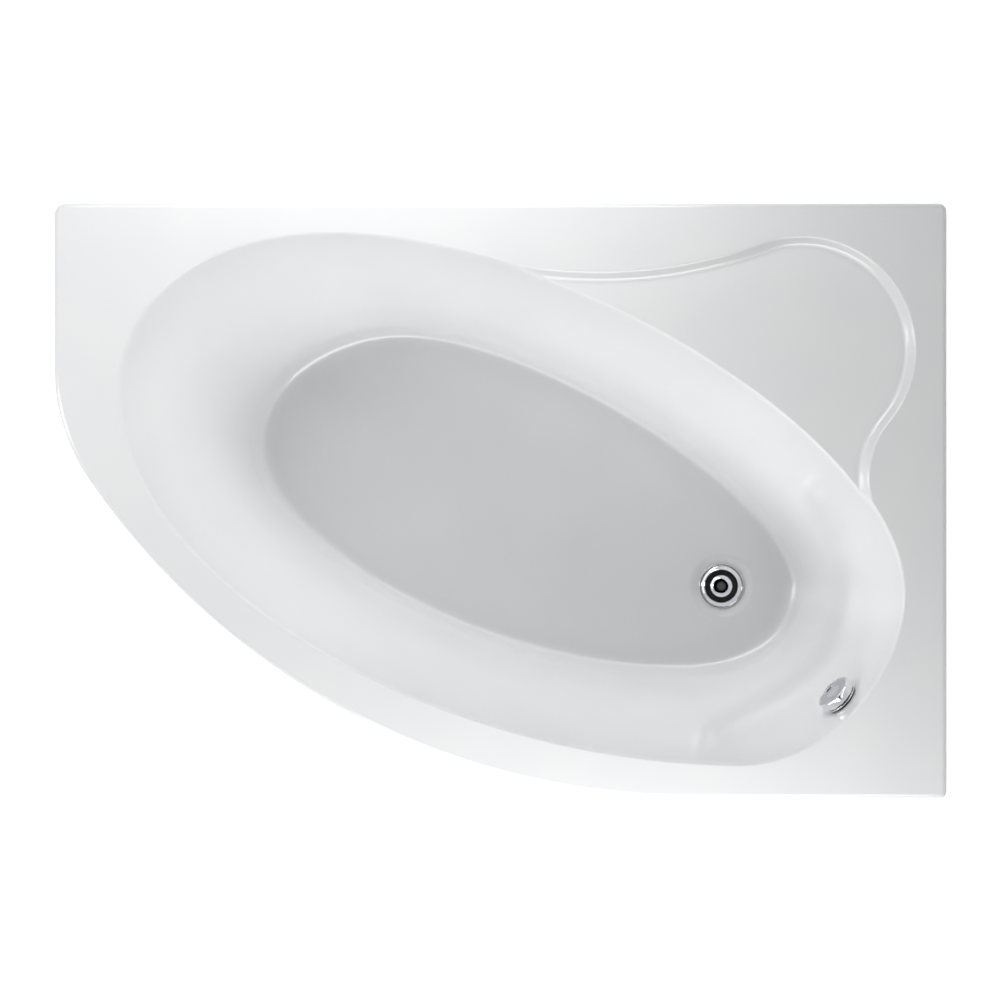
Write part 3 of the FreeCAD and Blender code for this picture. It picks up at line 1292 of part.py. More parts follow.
def make_trap():
    neck_top = TUBE_FOOT - TRAP_SEAL_THICK
    neck = BODY_OUTLET_RADIUS + BODY_OUTLET_WALL
    bore = BODY_OUTLET_RADIUS - BODY_OUTLET_WALL
    keep("trap_seal", in_trap_frame(tube(neck - 0.2, bore, neck_top, TUBE_FOOT)))
    nut_low = TUBE_FOOT + OUTLET_LIP_THICK + TRAP_NUT_TOP - TRAP_NUT_HEIGHT
    coupling = gripped(TRAP_NUT_RADIUS, nut_low, nut_low + TRAP_NUT_HEIGHT, TRAP_NUT_GRIPS)
    coupling = coupling.cut([disc(neck, nut_low - 1, TUBE_FOOT + OUTLET_LIP_THICK),
                             disc(BODY_OUTLET_RADIUS + 0.2, nut_low, nut_low + TRAP_NUT_HEIGHT + 1)])
    keep("trap_nut", in_trap_frame(coupling))
    inner = TRAP_RADIUS - TRAP_WALL
    shoulder = TRAP_TOP - TRAP_WALL
    clean = TRAP_CAP_RADIUS - TRAP_CAP_WALL
    profile = [(bore, neck_top), (neck, neck_top), (neck, TRAP_TOP), (TRAP_RADIUS - 4, TRAP_TOP),
               (TRAP_RADIUS, TRAP_TOP - 4), (TRAP_RADIUS, TRAP_BOTTOM + 4),
               (TRAP_RADIUS - 4, TRAP_BOTTOM), (clean, TRAP_BOTTOM), (clean, TRAP_BOTTOM + TRAP_WALL),
               (inner, TRAP_BOTTOM + 2 * TRAP_WALL), (inner, shoulder), (bore, shoulder),
               (bore, DIP_FOOT), (bore - DIP_WALL, DIP_FOOT), (bore - DIP_WALL, neck_top)]
    body = turned(profile)
    socket_end = TRAP_RADIUS + OUTLET_SOCKET_LENGTH
    outlet = OUTLET_RADIUS + OUTLET_SOCKET_WALL
    spigot = OUTLET_RADIUS - OUTLET_STEP
    spout = level_tube(outlet, inner, socket_end, 0, OUTLET_HEIGHT)
    spout = spout.cut(disc(inner - 0.01, 0, TRAP_TOP))
    body = body.fuse(spout)
    body = body.cut([level_tube(OUTLET_RADIUS - OUTLET_WALL, inner - 8, socket_end + 1, 0, OUTLET_HEIGHT),
                     level_tube(spigot + OUTLET_PLAY, PIPE_START, socket_end + 1, 0, OUTLET_HEIGHT)])
    keep("trap_body", in_trap_frame(body.removeSplitter()))
    low = TRAP_BOTTOM - TRAP_CAP_HEIGHT
    cap = gripped(TRAP_CAP_RADIUS, low, TRAP_BOTTOM, TRAP_NUT_GRIPS)
    plug = tube(clean, clean - TRAP_WALL, TRAP_BOTTOM, TRAP_BOTTOM + TRAP_WALL)
    keep("trap_cap", in_trap_frame(cap.fuse(plug).removeSplitter()))


def make_outlet():
    socket_end = TRAP_RADIUS + OUTLET_SOCKET_LENGTH
    seal_end = socket_end + TRAP_SEAL_THICK
    socket = OUTLET_RADIUS + OUTLET_SOCKET_WALL
    level = OUTLET_HEIGHT
    end = seal_end + OUTLET_NUT_CAP
    free = end + 1
    pipe_end = PIPE_START + OUTLET_LENGTH
    spigot = OUTLET_RADIUS - OUTLET_STEP
    pipe = level_tube(spigot, PIPE_START, free, 0, level)
    pipe = pipe.fuse(level_tube(OUTLET_RADIUS, free, pipe_end, 0, level))
    pipe = pipe.cut(level_tube(OUTLET_RADIUS - OUTLET_WALL, 0, pipe_end + 1, 0, level))
    keep("outlet_pipe", in_trap_frame(pipe))
    seal = level_tube(socket, socket_end, seal_end, 0, level)
    keep("outlet_seal", in_trap_frame(seal.cut(level_tube(spigot, 0, seal_end + 1, 0, level))))
    coupling = gripped(OUTLET_NUT_RADIUS, 0, OUTLET_NUT_LENGTH, TRAP_NUT_GRIPS)
    coupling.Placement = FreeCAD.Placement(V(end - OUTLET_NUT_LENGTH, 0, level),
                                           FreeCAD.Rotation(V(0, 1, 0), 90))
    coupling = coupling.cut([level_tube(socket, 0, seal_end, 0, level),
                             level_tube(OUTLET_RADIUS, 0, end + 1, 0, level)])
    keep("outlet_nut", in_trap_frame(coupling))


def main():
    os.makedirs("parts", exist_ok=True)
    cavity = tub_tool(0.0)
    acrylic_outer = tub_tool(ACRYLIC)
    backing_outer = tub_tool(WALL_SKINS)
    make_shell(cavity, acrylic_outer, backing_outer)
    make_board()
    make_battens()
    make_shelf_pad()
    make_rails()
    make_legs()
    make_post()
    make_wall_brackets()
    make_apron()
    make_apron_brackets()
    make_waste_flange()
    make_plug()
    make_lever()
    make_waste_body()
    make_overflow_face(cavity)
    make_overflow_cup(backing_outer)
    make_knob()
    make_hose()
    make_trap()
    make_outlet()
    print_axes()
    for name, shape in PARTS.items():
        print(name, shape.isValid(), len(shape.Solids), round(shape.Volume / 1000, 2), "cm3",
              len(shape.Faces), "faces")
        shape.exportStep("parts/" + name + ".step")


def print_axes():
    frame = overflow_frame()
    print("overflow wall point", frame.Base, "axis", frame.Rotation.multVec(V(0, 0, 1)))
    print("hose bearing and lean", hose_bearing())
    print("lever pivot level", LEVER_LEVEL, "stem foot", STEM_FOOT)
    print("legs", [(name, at) for name, at in leg_places()])


main()
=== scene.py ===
# %% [markdown]
# A corner bathtub, dressed for a picture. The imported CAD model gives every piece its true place, and
# this file gives it the skin: a smooth acrylic shell, chrome, rubber, steel and timber. Each step
# first says what the real thing is, and then how it is made here.

import json
import math

import bmesh
import bpy
import numpy as np
from mathutils import Matrix, Vector
from mathutils.geometry import delaunay_2d_cdt


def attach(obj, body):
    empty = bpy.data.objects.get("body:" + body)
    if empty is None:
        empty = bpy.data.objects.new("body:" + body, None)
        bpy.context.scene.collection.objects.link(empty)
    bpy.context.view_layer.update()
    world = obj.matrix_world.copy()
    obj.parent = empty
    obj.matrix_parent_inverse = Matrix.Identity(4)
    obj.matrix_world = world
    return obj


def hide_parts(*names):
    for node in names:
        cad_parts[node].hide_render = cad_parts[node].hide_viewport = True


scene = bpy.context.scene
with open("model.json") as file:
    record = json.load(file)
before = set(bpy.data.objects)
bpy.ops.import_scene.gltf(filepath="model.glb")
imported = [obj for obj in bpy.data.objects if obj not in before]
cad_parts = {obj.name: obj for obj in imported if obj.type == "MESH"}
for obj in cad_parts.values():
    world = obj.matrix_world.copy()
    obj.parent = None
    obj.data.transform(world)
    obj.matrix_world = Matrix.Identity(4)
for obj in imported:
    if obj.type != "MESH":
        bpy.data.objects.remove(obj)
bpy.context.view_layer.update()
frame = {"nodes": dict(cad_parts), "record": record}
nodes = frame["nodes"]


def new_object(name, data):
    """An object at the origin, linked into the scene."""
    made = bpy.data.objects.new(name, data)
    scene.collection.objects.link(made)
    return made


# %% [markdown]
# The picture looks straight down from far away through a long lens, so the rim shows in its true
# outline and the basin's walls don't lean. A very long lens, forty metres up, does that.

# %% Camera
VIEW_WIDTH = 1.6800
VIEW_CENTRE = (-0.0008, 0.0013)
CAMERA_HEIGHT, FAR_CLIP = 40.0, 300.0
SENSOR = 36.0
RIM_TOP = 0.570

camera_data = bpy.data.cameras.new("long_lens")
camera_data.sensor_width = SENSOR
camera_data.lens = SENSOR * CAMERA_HEIGHT / VIEW_WIDTH
camera_data.clip_end = FAR_CLIP
camera = new_object("camera", camera_data)
camera.location = (*VIEW_CENTRE, RIM_TOP + CAMERA_HEIGHT)
scene.camera = camera
print("lens in mm:", round(camera_data.lens))

# %% [markdown]
# Every colour below is written as the sRGB hex value that a paint card or a colour picker gives.
# Shaders work in linear light, so one function turns the one into the other. Others add a node with
# its settings and links, start a material, and plug patterns into its shader.

# %% Helpers for materials
def linear(hex_colour):
    """Linear RGBA from an sRGB hex value."""
    channels = [int(hex_colour[i:i + 2], 16) / 255 for i in (1, 3, 5)]
    return [c / 12.92 if c <= 0.04045 else ((c + 0.055) / 1.055) ** 2.4 for c in channels] + [1.0]


def add(tree, kind, settings=None, ramp=(), **links):
    """Adds a node. A link is an input's name, or i0, i1 for its number, with a node, an output or a
    value. A ramp is a row of stops, each a place and a hex colour."""
    node = tree.nodes.new(kind)
    for key, value in (settings or {}).items():
        setattr(node, key, value)
    for number, (place, colour) in enumerate(ramp):
        stop = node.color_ramp.elements[number]
        stop.position, stop.color = place, linear(colour)
    for key, value in links.items():
        numbered = key[0] == "i" and key[1:].isdigit()
        socket = node.inputs[int(key[1:])] if numbered else node.inputs[key.replace("_", " ")]
        if isinstance(value, bpy.types.Node):
            value = value.outputs[0]
        if isinstance(value, bpy.types.NodeSocket):
            tree.links.new(value, socket)
        else:
            socket.default_value = value
    return node


def start_material(name, colour, **shader_values):
    """A principled material with constant values on the shader's own sockets."""
    material = bpy.data.materials.new(name)
    material.use_nodes = True
    tree = material.node_tree
    tree.nodes.clear()
    shader = add(tree, "ShaderNodeBsdfPrincipled", Base_Color=linear(colour), **shader_values)
    add(tree, "ShaderNodeOutputMaterial", Surface=shader)
    return material, tree, shader


def plug_in(tree, shader, **patterns):
    """Links each pattern node to the shader's input of that name."""
    for key, node in patterns.items():
        tree.links.new(node.outputs[0], shader.inputs[key.replace("_", " ")])


def object_point(tree, scale=(1.0, 1.0, 1.0)):
    """Object coordinates in metres, stretched by a scale on each axis."""
    place = add(tree, "ShaderNodeTexCoord")
    return add(tree, "ShaderNodeMapping", Vector=place.outputs["Object"], Scale=scale)


def cells_per(size_mm):
    """The noise scale whose features measure about size_mm."""
    return 1000.0 / size_mm


# %% [markdown]
# The bath is cast acrylic sheet, drawn over a mould while it is hot. The eye sees a clean white with a
# soft gloss, and on a large face a faint slow waviness, since the sheet never lies dead flat. The
# waviness is a bump of a few hundredths of a millimetre over 120 mm. A much finer one of 3 mm gives
# the slight orange peel that thin sheet keeps.

# %% Acrylic
acrylic, tree, shader = start_material("cast_acrylic_polished", "#F4F5F6", IOR=1.49, Roughness=0.26,
                                       Coat_Weight=0.8, Coat_Roughness=0.12)
point = object_point(tree)
sway = add(tree, "ShaderNodeTexNoise", Vector=point, Scale=cells_per(120), Detail=1.0)
peel = add(tree, "ShaderNodeTexNoise", Vector=point, Scale=cells_per(3), Detail=1.0)
low = add(tree, "ShaderNodeBump", Height=sway, Strength=0.25, Distance=0.0004)
high = add(tree, "ShaderNodeBump", Height=peel, Strength=0.08, Distance=0.00003, Normal=low)
tint = add(tree, "ShaderNodeValToRGB", ramp=((0, "#F1F2F4"), (1, "#F7F7F7")), Fac=sway)
plug_in(tree, shader, Base_Color=tint, Normal=high)
print("finish:", acrylic.name)

# %% [markdown]
# Chrome is a thin bright plating on brass or on plastic. It has almost no colour of its own, so it
# shows the room: white boards and, above them, the dark of the studio. A polished face has a
# roughness near 0.05. The knob's satin face was brushed before it was plated, so its highlights
# spread out.

# %% Chrome and satin chrome
chrome, tree, shader = start_material("polished_chrome_plate", "#E9EBEE", Metallic=1.0, Roughness=0.05)
noise = add(tree, "ShaderNodeTexNoise", Vector=object_point(tree), Scale=cells_per(8), Detail=2.0)
plug_in(tree, shader, Roughness=add(tree, "ShaderNodeMapRange", Value=noise, i3=0.03, i4=0.09))

satin, tree, shader = start_material("satin_chrome_plate", "#D2D4D8", Metallic=1.0, Roughness=0.34)
noise = add(tree, "ShaderNodeTexNoise", Vector=object_point(tree), Scale=cells_per(0.5), Detail=3.0)
grain = add(tree, "ShaderNodeBump", Height=noise, Strength=0.15, Distance=0.00003)
rough = add(tree, "ShaderNodeMapRange", Value=noise, i3=0.28, i4=0.42)
plug_in(tree, shader, Roughness=rough, Normal=grain)
print("finishes:", chrome.name, satin.name)

# %% [markdown]
# The steel rails and brackets under the bath are hot-dip galvanised, and the zinc freezes in pale
# crystals about 8 mm across. Voronoi cells stand for them.

# %% Galvanised steel
galvanised, tree, shader = start_material("hot_dip_galvanised_steel", "#B4B8BB", Metallic=0.9, Roughness=0.42)
cells = add(tree, "ShaderNodeTexVoronoi", Vector=object_point(tree), Scale=cells_per(8)).outputs["Color"]
tone = add(tree, "ShaderNodeValToRGB", ramp=((0, "#A3A8AC"), (1, "#C3C7C9")), Fac=cells)
plug_in(tree, shader, Base_Color=tone, Roughness=add(tree, "ShaderNodeMapRange", Value=cells, i3=0.34, i4=0.52))
print("finish:", galvanised.name)

# %% [markdown]
# The other metals, the plastics and the rubber differ in tone, gloss and grain, so one function
# serves them all. Studs, nuts and spindles have a fine streaky grain along their length. Waste
# fittings are white polypropylene with a soft sheen, feet are black nylon from a spark-eroded mould
# with a matt grain, and seals are smooth black rubber.

# %% Metals, plastics and rubber
def make_grained(name, dark, light, rough_low, rough_high, grain_mm, depth_mm, streaked=False):
    material, tree, shader = start_material(name, light, Metallic=float(streaked), Roughness=rough_low)
    noise = add(tree, "ShaderNodeTexNoise", Vector=object_point(tree, (1.0, 1.0, 0.15 if streaked else 1.0)),
                Scale=cells_per(grain_mm), Detail=3.0 if streaked else 2.0)
    tone = add(tree, "ShaderNodeValToRGB", ramp=((0, dark), (1, light)), Fac=noise)
    rough = add(tree, "ShaderNodeMapRange", Value=noise, i3=rough_low, i4=rough_high)
    bump = add(tree, "ShaderNodeBump", Height=noise, Strength=0.2 if streaked else 0.3, Distance=depth_mm / 1000)
    plug_in(tree, shader, Base_Color=tone, Roughness=rough, Normal=bump)
    return material


zinc = make_grained("bright_zinc_plated_steel", "#A9ABA6", "#C9CAC4", 0.25, 0.4, 1.5, 0.03, True)
stainless = make_grained("turned_stainless_steel", "#B5B7B9", "#CDCFD1", 0.14, 0.26, 0.8, 0.03, True)
magnet_finish = make_grained("nickel_plated_magnet", "#4B4C50", "#606166", 0.3, 0.45, 2.0, 0.03, True)
foot_nylon = make_grained("spark_grained_black_nylon", "#121214", "#1E1E20", 0.5, 0.65, 0.8, 0.06)
seal_rubber = make_grained("moulded_black_rubber", "#0B0B0C", "#141416", 0.42, 0.58, 1.2, 0.03)
polypropylene = make_grained("moulded_white_polypropylene", "#DEDED8", "#E9E9E4", 0.32, 0.44, 2.5, 0.03)
hose_polyethylene = make_grained("blown_pale_polyethylene", "#CFD1D2", "#DBDDDE", 0.36, 0.5, 3.0, 0.04)
cable_sleeve = make_grained("extruded_black_sleeve", "#161617", "#232324", 0.38, 0.5, 1.0, 0.02)
print("grained finishes:", zinc.name, "to", cable_sleeve.name)

# %% [markdown]
# The underside of the bath is sprayed with resin and chopped glass, a dull grey-green-white skin with
# strands 20 to 40 mm long that lie in every direction. Two layers of stretched noise, turned against
# each other, draw the strands.

# %% Glass fibre
glass_fibre, tree, shader = start_material("sprayed_glass_fibre_resin", "#C9CBB8", Roughness=0.5)
point = object_point(tree)
strands = []
for turn in (0.5, 2.1):
    lie = add(tree, "ShaderNodeMapping", Vector=point, Rotation=(turn, turn * 0.7, turn), Scale=(1.0, 8.0, 8.0))
    strands.append(add(tree, "ShaderNodeTexNoise", Vector=lie, Scale=cells_per(28), Detail=4.0))
mixed = add(tree, "ShaderNodeMath", {"operation": "MAXIMUM"}, i0=strands[0], i1=strands[1])
tone = add(tree, "ShaderNodeValToRGB", ramp=((0.4, "#B5B8A4"), (0.7, "#DCDDCF")), Fac=mixed)
bump = add(tree, "ShaderNodeBump", Height=mixed, Strength=0.7, Distance=0.0012)
plug_in(tree, shader, Base_Color=tone, Normal=bump)
print("finish:", glass_fibre.name)

# %% [markdown]
# The base board is raw chipboard, whose flakes are 3 to 8 mm across and differ in tone. The battens
# are sawn softwood: rings about 7 mm apart that run along the piece, with a rough matt face.

# %% Chipboard and sawn timber
chipboard, tree, shader = start_material("raw_chipboard", "#B79A6E", Roughness=0.8)
flakes = add(tree, "ShaderNodeTexVoronoi", Vector=object_point(tree), Scale=cells_per(5))
tone = add(tree, "ShaderNodeValToRGB", ramp=((0, "#94764A"), (1, "#CDB083")), Fac=flakes.outputs["Color"])
bump = add(tree, "ShaderNodeBump", Height=flakes.outputs["Distance"], Strength=0.4, Distance=0.0003)
plug_in(tree, shader, Base_Color=tone, Normal=bump)


def make_timber(name, along):
    """Softwood whose grain runs along an axis: 0 is X, 1 is Y."""
    material, tree, shader = start_material(name, "#C9A671", Roughness=0.72)
    squeeze = [1.0, 1.0, 1.0]
    squeeze[along] = 0.06
    point = object_point(tree, squeeze)
    rings = add(tree, "ShaderNodeTexNoise", Vector=point, Scale=cells_per(7), Detail=3.0, Distortion=0.6)
    fibres = add(tree, "ShaderNodeTexNoise", Vector=point, Scale=cells_per(1.2), Detail=2.0)
    tone = add(tree, "ShaderNodeValToRGB", ramp=((0.35, "#A77F48"), (0.62, "#D6B683")), Fac=rings)
    bump = add(tree, "ShaderNodeBump", Height=fibres, Strength=0.5, Distance=0.0003)
    plug_in(tree, shader, Base_Color=tone, Normal=bump)
    return material


timber_along_x = make_timber("sawn_softwood_along_the_back", 0)
timber_along_y = make_timber("sawn_softwood_along_the_side", 1)
print("woods:", chipboard.name, timber_along_x.name, timber_along_y.name)

# %% [markdown]
# Every CAD node that stays in view gets its finish from the record's own slot, so that the two can
# never drift apart. Only the battens need more: the grain has to run along each piece.

# %% Finish of every CAD node
FINISH_OF_SLOT = {
    "acrylic": acrylic, "glass_fibre": glass_fibre, "chipboard": chipboard, "timber": timber_along_x,
    "galvanised_steel": galvanised, "zinc_steel": zinc, "stainless": stainless,
    "foot_plastic": foot_nylon, "magnet": magnet_finish, "chrome": chrome, "satin_chrome": satin,
    "black_rubber": seal_rubber, "white_plastic": polypropylene, "hose_plastic": hose_polyethylene,
    "cable_plastic": cable_sleeve,
}
slot_of = {part["node"]: part["material_slot"] for part in frame["record"]["subparts"]}
body_of = {node: body for body, members in frame["record"]["behaviour"]["bodies"].items() for node in members}


def set_finish(piece, material):
    piece.data.materials.clear()
    piece.data.materials.append(material)


for name, node in nodes.items():
    set_finish(node, FINISH_OF_SLOT[slot_of[name]])
set_finish(nodes["right_batten"], timber_along_y)
print("CAD nodes with a finish:", len(nodes))

# %% [markdown]
# The shell is one surface that is drawn over a mould, so its height can be worked out for any place
# in plan. The rim's outline comes first: two straight wall edges, and a front of three arcs that run
# into each other. Every ring of it, stepped in by any amount, has the same count of points, so that
# rings match up.

# %% Outline of the rim
MM = 0.001
LENGTH, WIDTH = 1500.0, 1000.0
RIM, LIP_BOTTOM = 570.0, 530.0
FRONT_ARCS = ((336.0, 34.6), (1246.0, 31.2), (1189.0, 24.2))
FRONT_RIGHT, BACK_RIGHT, BACK_LEFT = 12.0, 14.0, 20.0
ARC_SPACING = 460


def arc_points(centre, radius, start, end, count):
    """Points on an arc in plan, without its last one."""
    angles = np.radians(np.linspace(start, end, count, endpoint=False))
    return [(centre[0] + radius * math.cos(a), centre[1] + radius * math.sin(a)) for a in angles]


def run_points(a, b, count):
    return [(a[0] + (b[0] - a[0]) * i / count, a[1] + (b[1] - a[1]) * i / count) for i in range(count)]


def front_points(inset):
    """The front's three arcs from the left end on, and the point and heading where they end."""
    heading, reach, points = -90.0, 0.0, []
    for radius, turn in FRONT_ARCS:
        for angle, sign in ((heading - 90 + turn, 1), (heading - 90, -1)):
            reach += sign * radius * math.sin(math.radians(angle))
        heading += turn
    x, y, heading = -LENGTH / 2 + inset, -WIDTH / 2 - reach, -90.0
    for radius, turn in FRONT_ARCS:
        count = int(radius * turn / ARC_SPACING)
        radius -= inset
        side = math.radians(heading + 90)
        centre = (x + radius * math.cos(side), y + radius * math.sin(side))
        start = heading - 90
        points += arc_points(centre, radius, start, start + turn, count)
        heading += turn
        end = math.radians(start + turn)
        x, y = centre[0] + radius * math.cos(end), centre[1] + radius * math.sin(end)
    return points, (x, y)


def rim_ring(inset):
    """The whole outline, stepped in by inset, anticlockwise from the left end of the front."""
    points, (x, y) = front_points(inset)
    left, right = -LENGTH / 2 + inset, LENGTH / 2 - inset
    back, front = WIDTH / 2 - inset, -WIDTH / 2 + inset
    radii = [max(r - inset, 0.5) for r in (FRONT_RIGHT, BACK_RIGHT, BACK_LEFT)]
    points += run_points((x, y), (right - radii[0], front), 16)
    points += arc_points((right - radii[0], front + radii[0]), radii[0], -90, 0, 10)
    points += run_points((right, front + radii[0]), (right, back - radii[1]), 50)
    points += arc_points((right - radii[1], back - radii[1]), radii[1], 0, 90, 10)
    points += run_points((right - radii[1], back), (left + radii[2], back), 70)
    points += arc_points((left + radii[2], back - radii[2]), radii[2], 90, 180, 12)
    points += run_points((left, back - radii[2]), points[0], 20)
    return np.array(points)


print("points on the outline:", len(rim_ring(0.0)))

# %% [markdown]
# The basin is drawn through four quarter curves at every level. Each runs between two extreme points
# of the opening and bulges towards the corner of its box. From rim to floor the box shrinks by a
# different amount on each side, which gives the long back rest at the left and the steep end at the
# right.

# %% Rings of the basin
EDGE_BOX = (113.0, 54.0, 76.0, 60.0)
SLOPES = (267.0, 186.0, 199.0, 176.0)
EDGE_TOUCH, FLOOR_TOUCH = (180.0, -283.0, -153.0, 405.0), (83.0, -143.0, -138.0, 278.0)
EDGE_FULLNESS, FLOOR_FULLNESS = (0.80, 0.46, 0.62, 0.59), (0.57, 0.33, 0.93, 0.51)


def quarter_point(quarter, t, share):
    """A point on one of the four quarter curves, at a share of the way down the slope."""
    left = -LENGTH / 2 + EDGE_BOX[0] + SLOPES[0] * share
    back = WIDTH / 2 - EDGE_BOX[1] - SLOPES[1] * share
    right = LENGTH / 2 - EDGE_BOX[2] - SLOPES[2] * share
    front = -WIDTH / 2 + EDGE_BOX[3] + SLOPES[3] * share
    at = [a + (b - a) * share for a, b in zip(EDGE_TOUCH, FLOOR_TOUCH)]
    touch = [(left, at[0]), (at[1], back), (right, at[2]), (at[3], front)]
    corner = [(left, back), (right, back), (right, front), (left, front)][quarter]
    start, end = touch[quarter], touch[(quarter + 1) % 4]
    full = EDGE_FULLNESS[quarter] + (FLOOR_FULLNESS[quarter] - EDGE_FULLNESS[quarter]) * share
    pull = 4 * full / (3 * (1 + full))
    near = [[p[i] + (corner[i] - p[i]) * pull for i in (0, 1)] for p in (start, end)]
    weights = ((1 - t) ** 3, 3 * t * (1 - t) ** 2, 3 * t * t * (1 - t), t ** 3)
    poles = (start, near[0], near[1], end)
    return [sum(w * p[i] for w, p in zip(weights, poles)) for i in (0, 1)]


def basin_ring(share, count):
    """A closed ring of the basin, with count points on each of its quarters."""
    t = np.arange(count) / count
    return np.vstack([np.column_stack(quarter_point(q, t, share)) for q in range(4)])


print("basin opening, mm:", np.ptp(basin_ring(0.0, 90), axis=0).round())

# %% [markdown]
# Three heights meet. The land is the rim, lowered by 15 mm inside the shelf, with an S-shaped step
# between the two. The wall falls at a steady slope and ends in a cove. Where land and wall meet, a
# smooth minimum rolls the edge over, the same round on the rim and on the shelf, as the sheet does
# over the mould.

# %% Heights of land and wall
SHELF_DEPTH, SHELF_TOP_GROWTH, SHELF_BAND = 15.0, 4.0, 22.0
LOBE_CENTRE, LOBE_RADIUS = (506.3, 253.8), 188.0
SWEEP_RADIUS, SWEEP_BEARING, SWEEP_END = 806.0, 110.0, -105.3
NECK_RADIUS, NECK_BEARING, NECK_END = 146.0, -40.0, 210.0
NECK_REACH, FAR_OUTSIDE = 400.0, 999
SWEEP_FADE, NECK_FADE, STEP_LEAN = 5.0, 12.0, 0.78
ROLL_DEPTH, ROLL_SOFTNESS = 8.0, 9.0
DEPTH, COVE_RISE, COVE_SHARE = 420.0, 25.0, 0.2
WALL_DROP = (DEPTH - COVE_RISE - ROLL_DEPTH) / (1 - COVE_SHARE)
FLOOR_Z = RIM - DEPTH


def beside_lobe(bearing, radius):
    angle = math.radians(bearing)
    return (LOBE_CENTRE[0] + (LOBE_RADIUS + radius) * math.cos(angle),
            LOBE_CENTRE[1] + (LOBE_RADIUS + radius) * math.sin(angle))


SWEEP_CENTRE = beside_lobe(SWEEP_BEARING, SWEEP_RADIUS)
NECK_CENTRE = beside_lobe(NECK_BEARING, NECK_RADIUS)


def shelf_distance(points):
    """How far points lie outside the shelf's outline. It is negative inside."""
    offset = points - np.array(LOBE_CENTRE)
    bearing = np.degrees(np.arctan2(offset[:, 1], offset[:, 0]))
    bearing = np.where(bearing < -145, bearing + 360, bearing)
    lobe = np.hypot(offset[:, 0], offset[:, 1]) - LOBE_RADIUS
    sweep = SWEEP_RADIUS - np.hypot(*(points - np.array(SWEEP_CENTRE)).T)
    neck = NECK_RADIUS - np.hypot(*(points - np.array(NECK_CENTRE)).T)
    neck = np.where(neck < NECK_RADIUS - NECK_REACH, FAR_OUTSIDE, neck)
    return np.where(bearing > SWEEP_BEARING, sweep, np.where(bearing < NECK_BEARING, neck, lobe))


def eased(share):
    """An S-shaped step from 0 to 1."""
    share = np.clip(share, 0, 1)
    return share * share * (3 - 2 * share)


def shelf_present(points):
    """1 where the shelf is, easing to 0 where its sweep and its neck run out into the basin."""
    from_sweep, from_neck = points - np.array(SWEEP_CENTRE), points - np.array(NECK_CENTRE)
    on_sweep = np.degrees(np.arctan2(from_sweep[:, 1], from_sweep[:, 0]))
    on_neck = np.degrees(np.arctan2(from_neck[:, 1], from_neck[:, 0])) % 360
    return eased((on_sweep - SWEEP_END) / SWEEP_FADE) * eased((NECK_END - on_neck) / NECK_FADE)


def land_height(points):
    across = np.clip((SHELF_TOP_GROWTH - shelf_distance(points)) / SHELF_BAND, 0, 1) ** STEP_LEAN
    return RIM - SHELF_DEPTH * eased(across) * shelf_present(points)


def wall_height(share):
    return RIM - ROLL_DEPTH - WALL_DROP * share


def rolled(land, wall):
    """A smooth minimum: the rolled edge where the land meets the wall."""
    near = np.maximum(ROLL_SOFTNESS - np.abs(land - wall), 0) / ROLL_SOFTNESS
    return np.minimum(land, wall) - near * near * ROLL_SOFTNESS / 4


def cove(t):
    """Share and height on the rounded foot of the wall, from the wall at 0 to the floor at 1."""
    elbow = 1 - COVE_SHARE + COVE_RISE / WALL_DROP
    share = (1 - t) ** 2 * (1 - COVE_SHARE) + 2 * t * (1 - t) * elbow + t * t
    return share, FLOOR_Z + COVE_RISE * (1 - t) ** 2


print("slope of the wall in degrees:", round(math.degrees(math.atan2(WALL_DROP, sum(SLOPES) / 4))))

# %% [markdown]
# Now the rings are gathered: over the outer round, across the rolled edge, down the wall, round the
# cove, along the shelf's step, and round the two holes. A constrained Delaunay triangulation joins
# them all without a crossing edge. Flat land gets few triangles, and each curved band gets rings 1 to
# 2 mm apart. One extra ring beside each band keeps the flat faces truly flat when they are shaded.

# %% Rings of the shell
OUTER_ROUND = 8.0
WASTE_AT = (375.0, -145.0)
WASTE_HOLE, WASTE_SEAT, RECESS_DEPTH, RECESS_SLOPE = 25.0, 38.5, 4.0, 17.5
OVERFLOW_HOLE = 24.0
BESIDE_ROUND, BESIDE_ROLL, BESIDE_COVE = 1.5, 0.006, 0.012
ROLL_POINTS, WALL_POINTS = 220, 90
rings = []


def gather(points, heights, closed=True):
    """Keeps a ring of the shell: its points in plan, their heights, and whether it closes."""
    rings.append((np.asarray(points, float), np.broadcast_to(np.asarray(heights, float), len(points)), closed))


for degrees in (0, 14, 28, 42, 56, 68, 80, 90):
    turn = math.radians(degrees)
    gather(rim_ring(OUTER_ROUND * (1 - math.cos(turn))), RIM - OUTER_ROUND * (1 - math.sin(turn)))
gather(rim_ring(OUTER_ROUND + BESIDE_ROUND), RIM)

ROLL_SHARES = (-0.058, -0.05, -0.043, -0.036, -0.03, -0.025, -0.02, -0.015, -0.01, -0.005, 0.0, 0.005, 0.01,
               0.016, 0.023, 0.031, 0.04, 0.05)
WALL_SHARES = np.arange(0.07, 0.77, 0.035)
for share in ROLL_SHARES:
    points = basin_ring(share, ROLL_POINTS)
    gather(points, rolled(land_height(points), wall_height(share)))
for share in WALL_SHARES:
    gather(basin_ring(share, WALL_POINTS), wall_height(share))
for t in np.linspace(0.0, 1.0, 12):
    share, height = cove(t)
    gather(basin_ring(share, WALL_POINTS), height)
gather(basin_ring(1 + BESIDE_COVE, WALL_POINTS), FLOOR_Z)

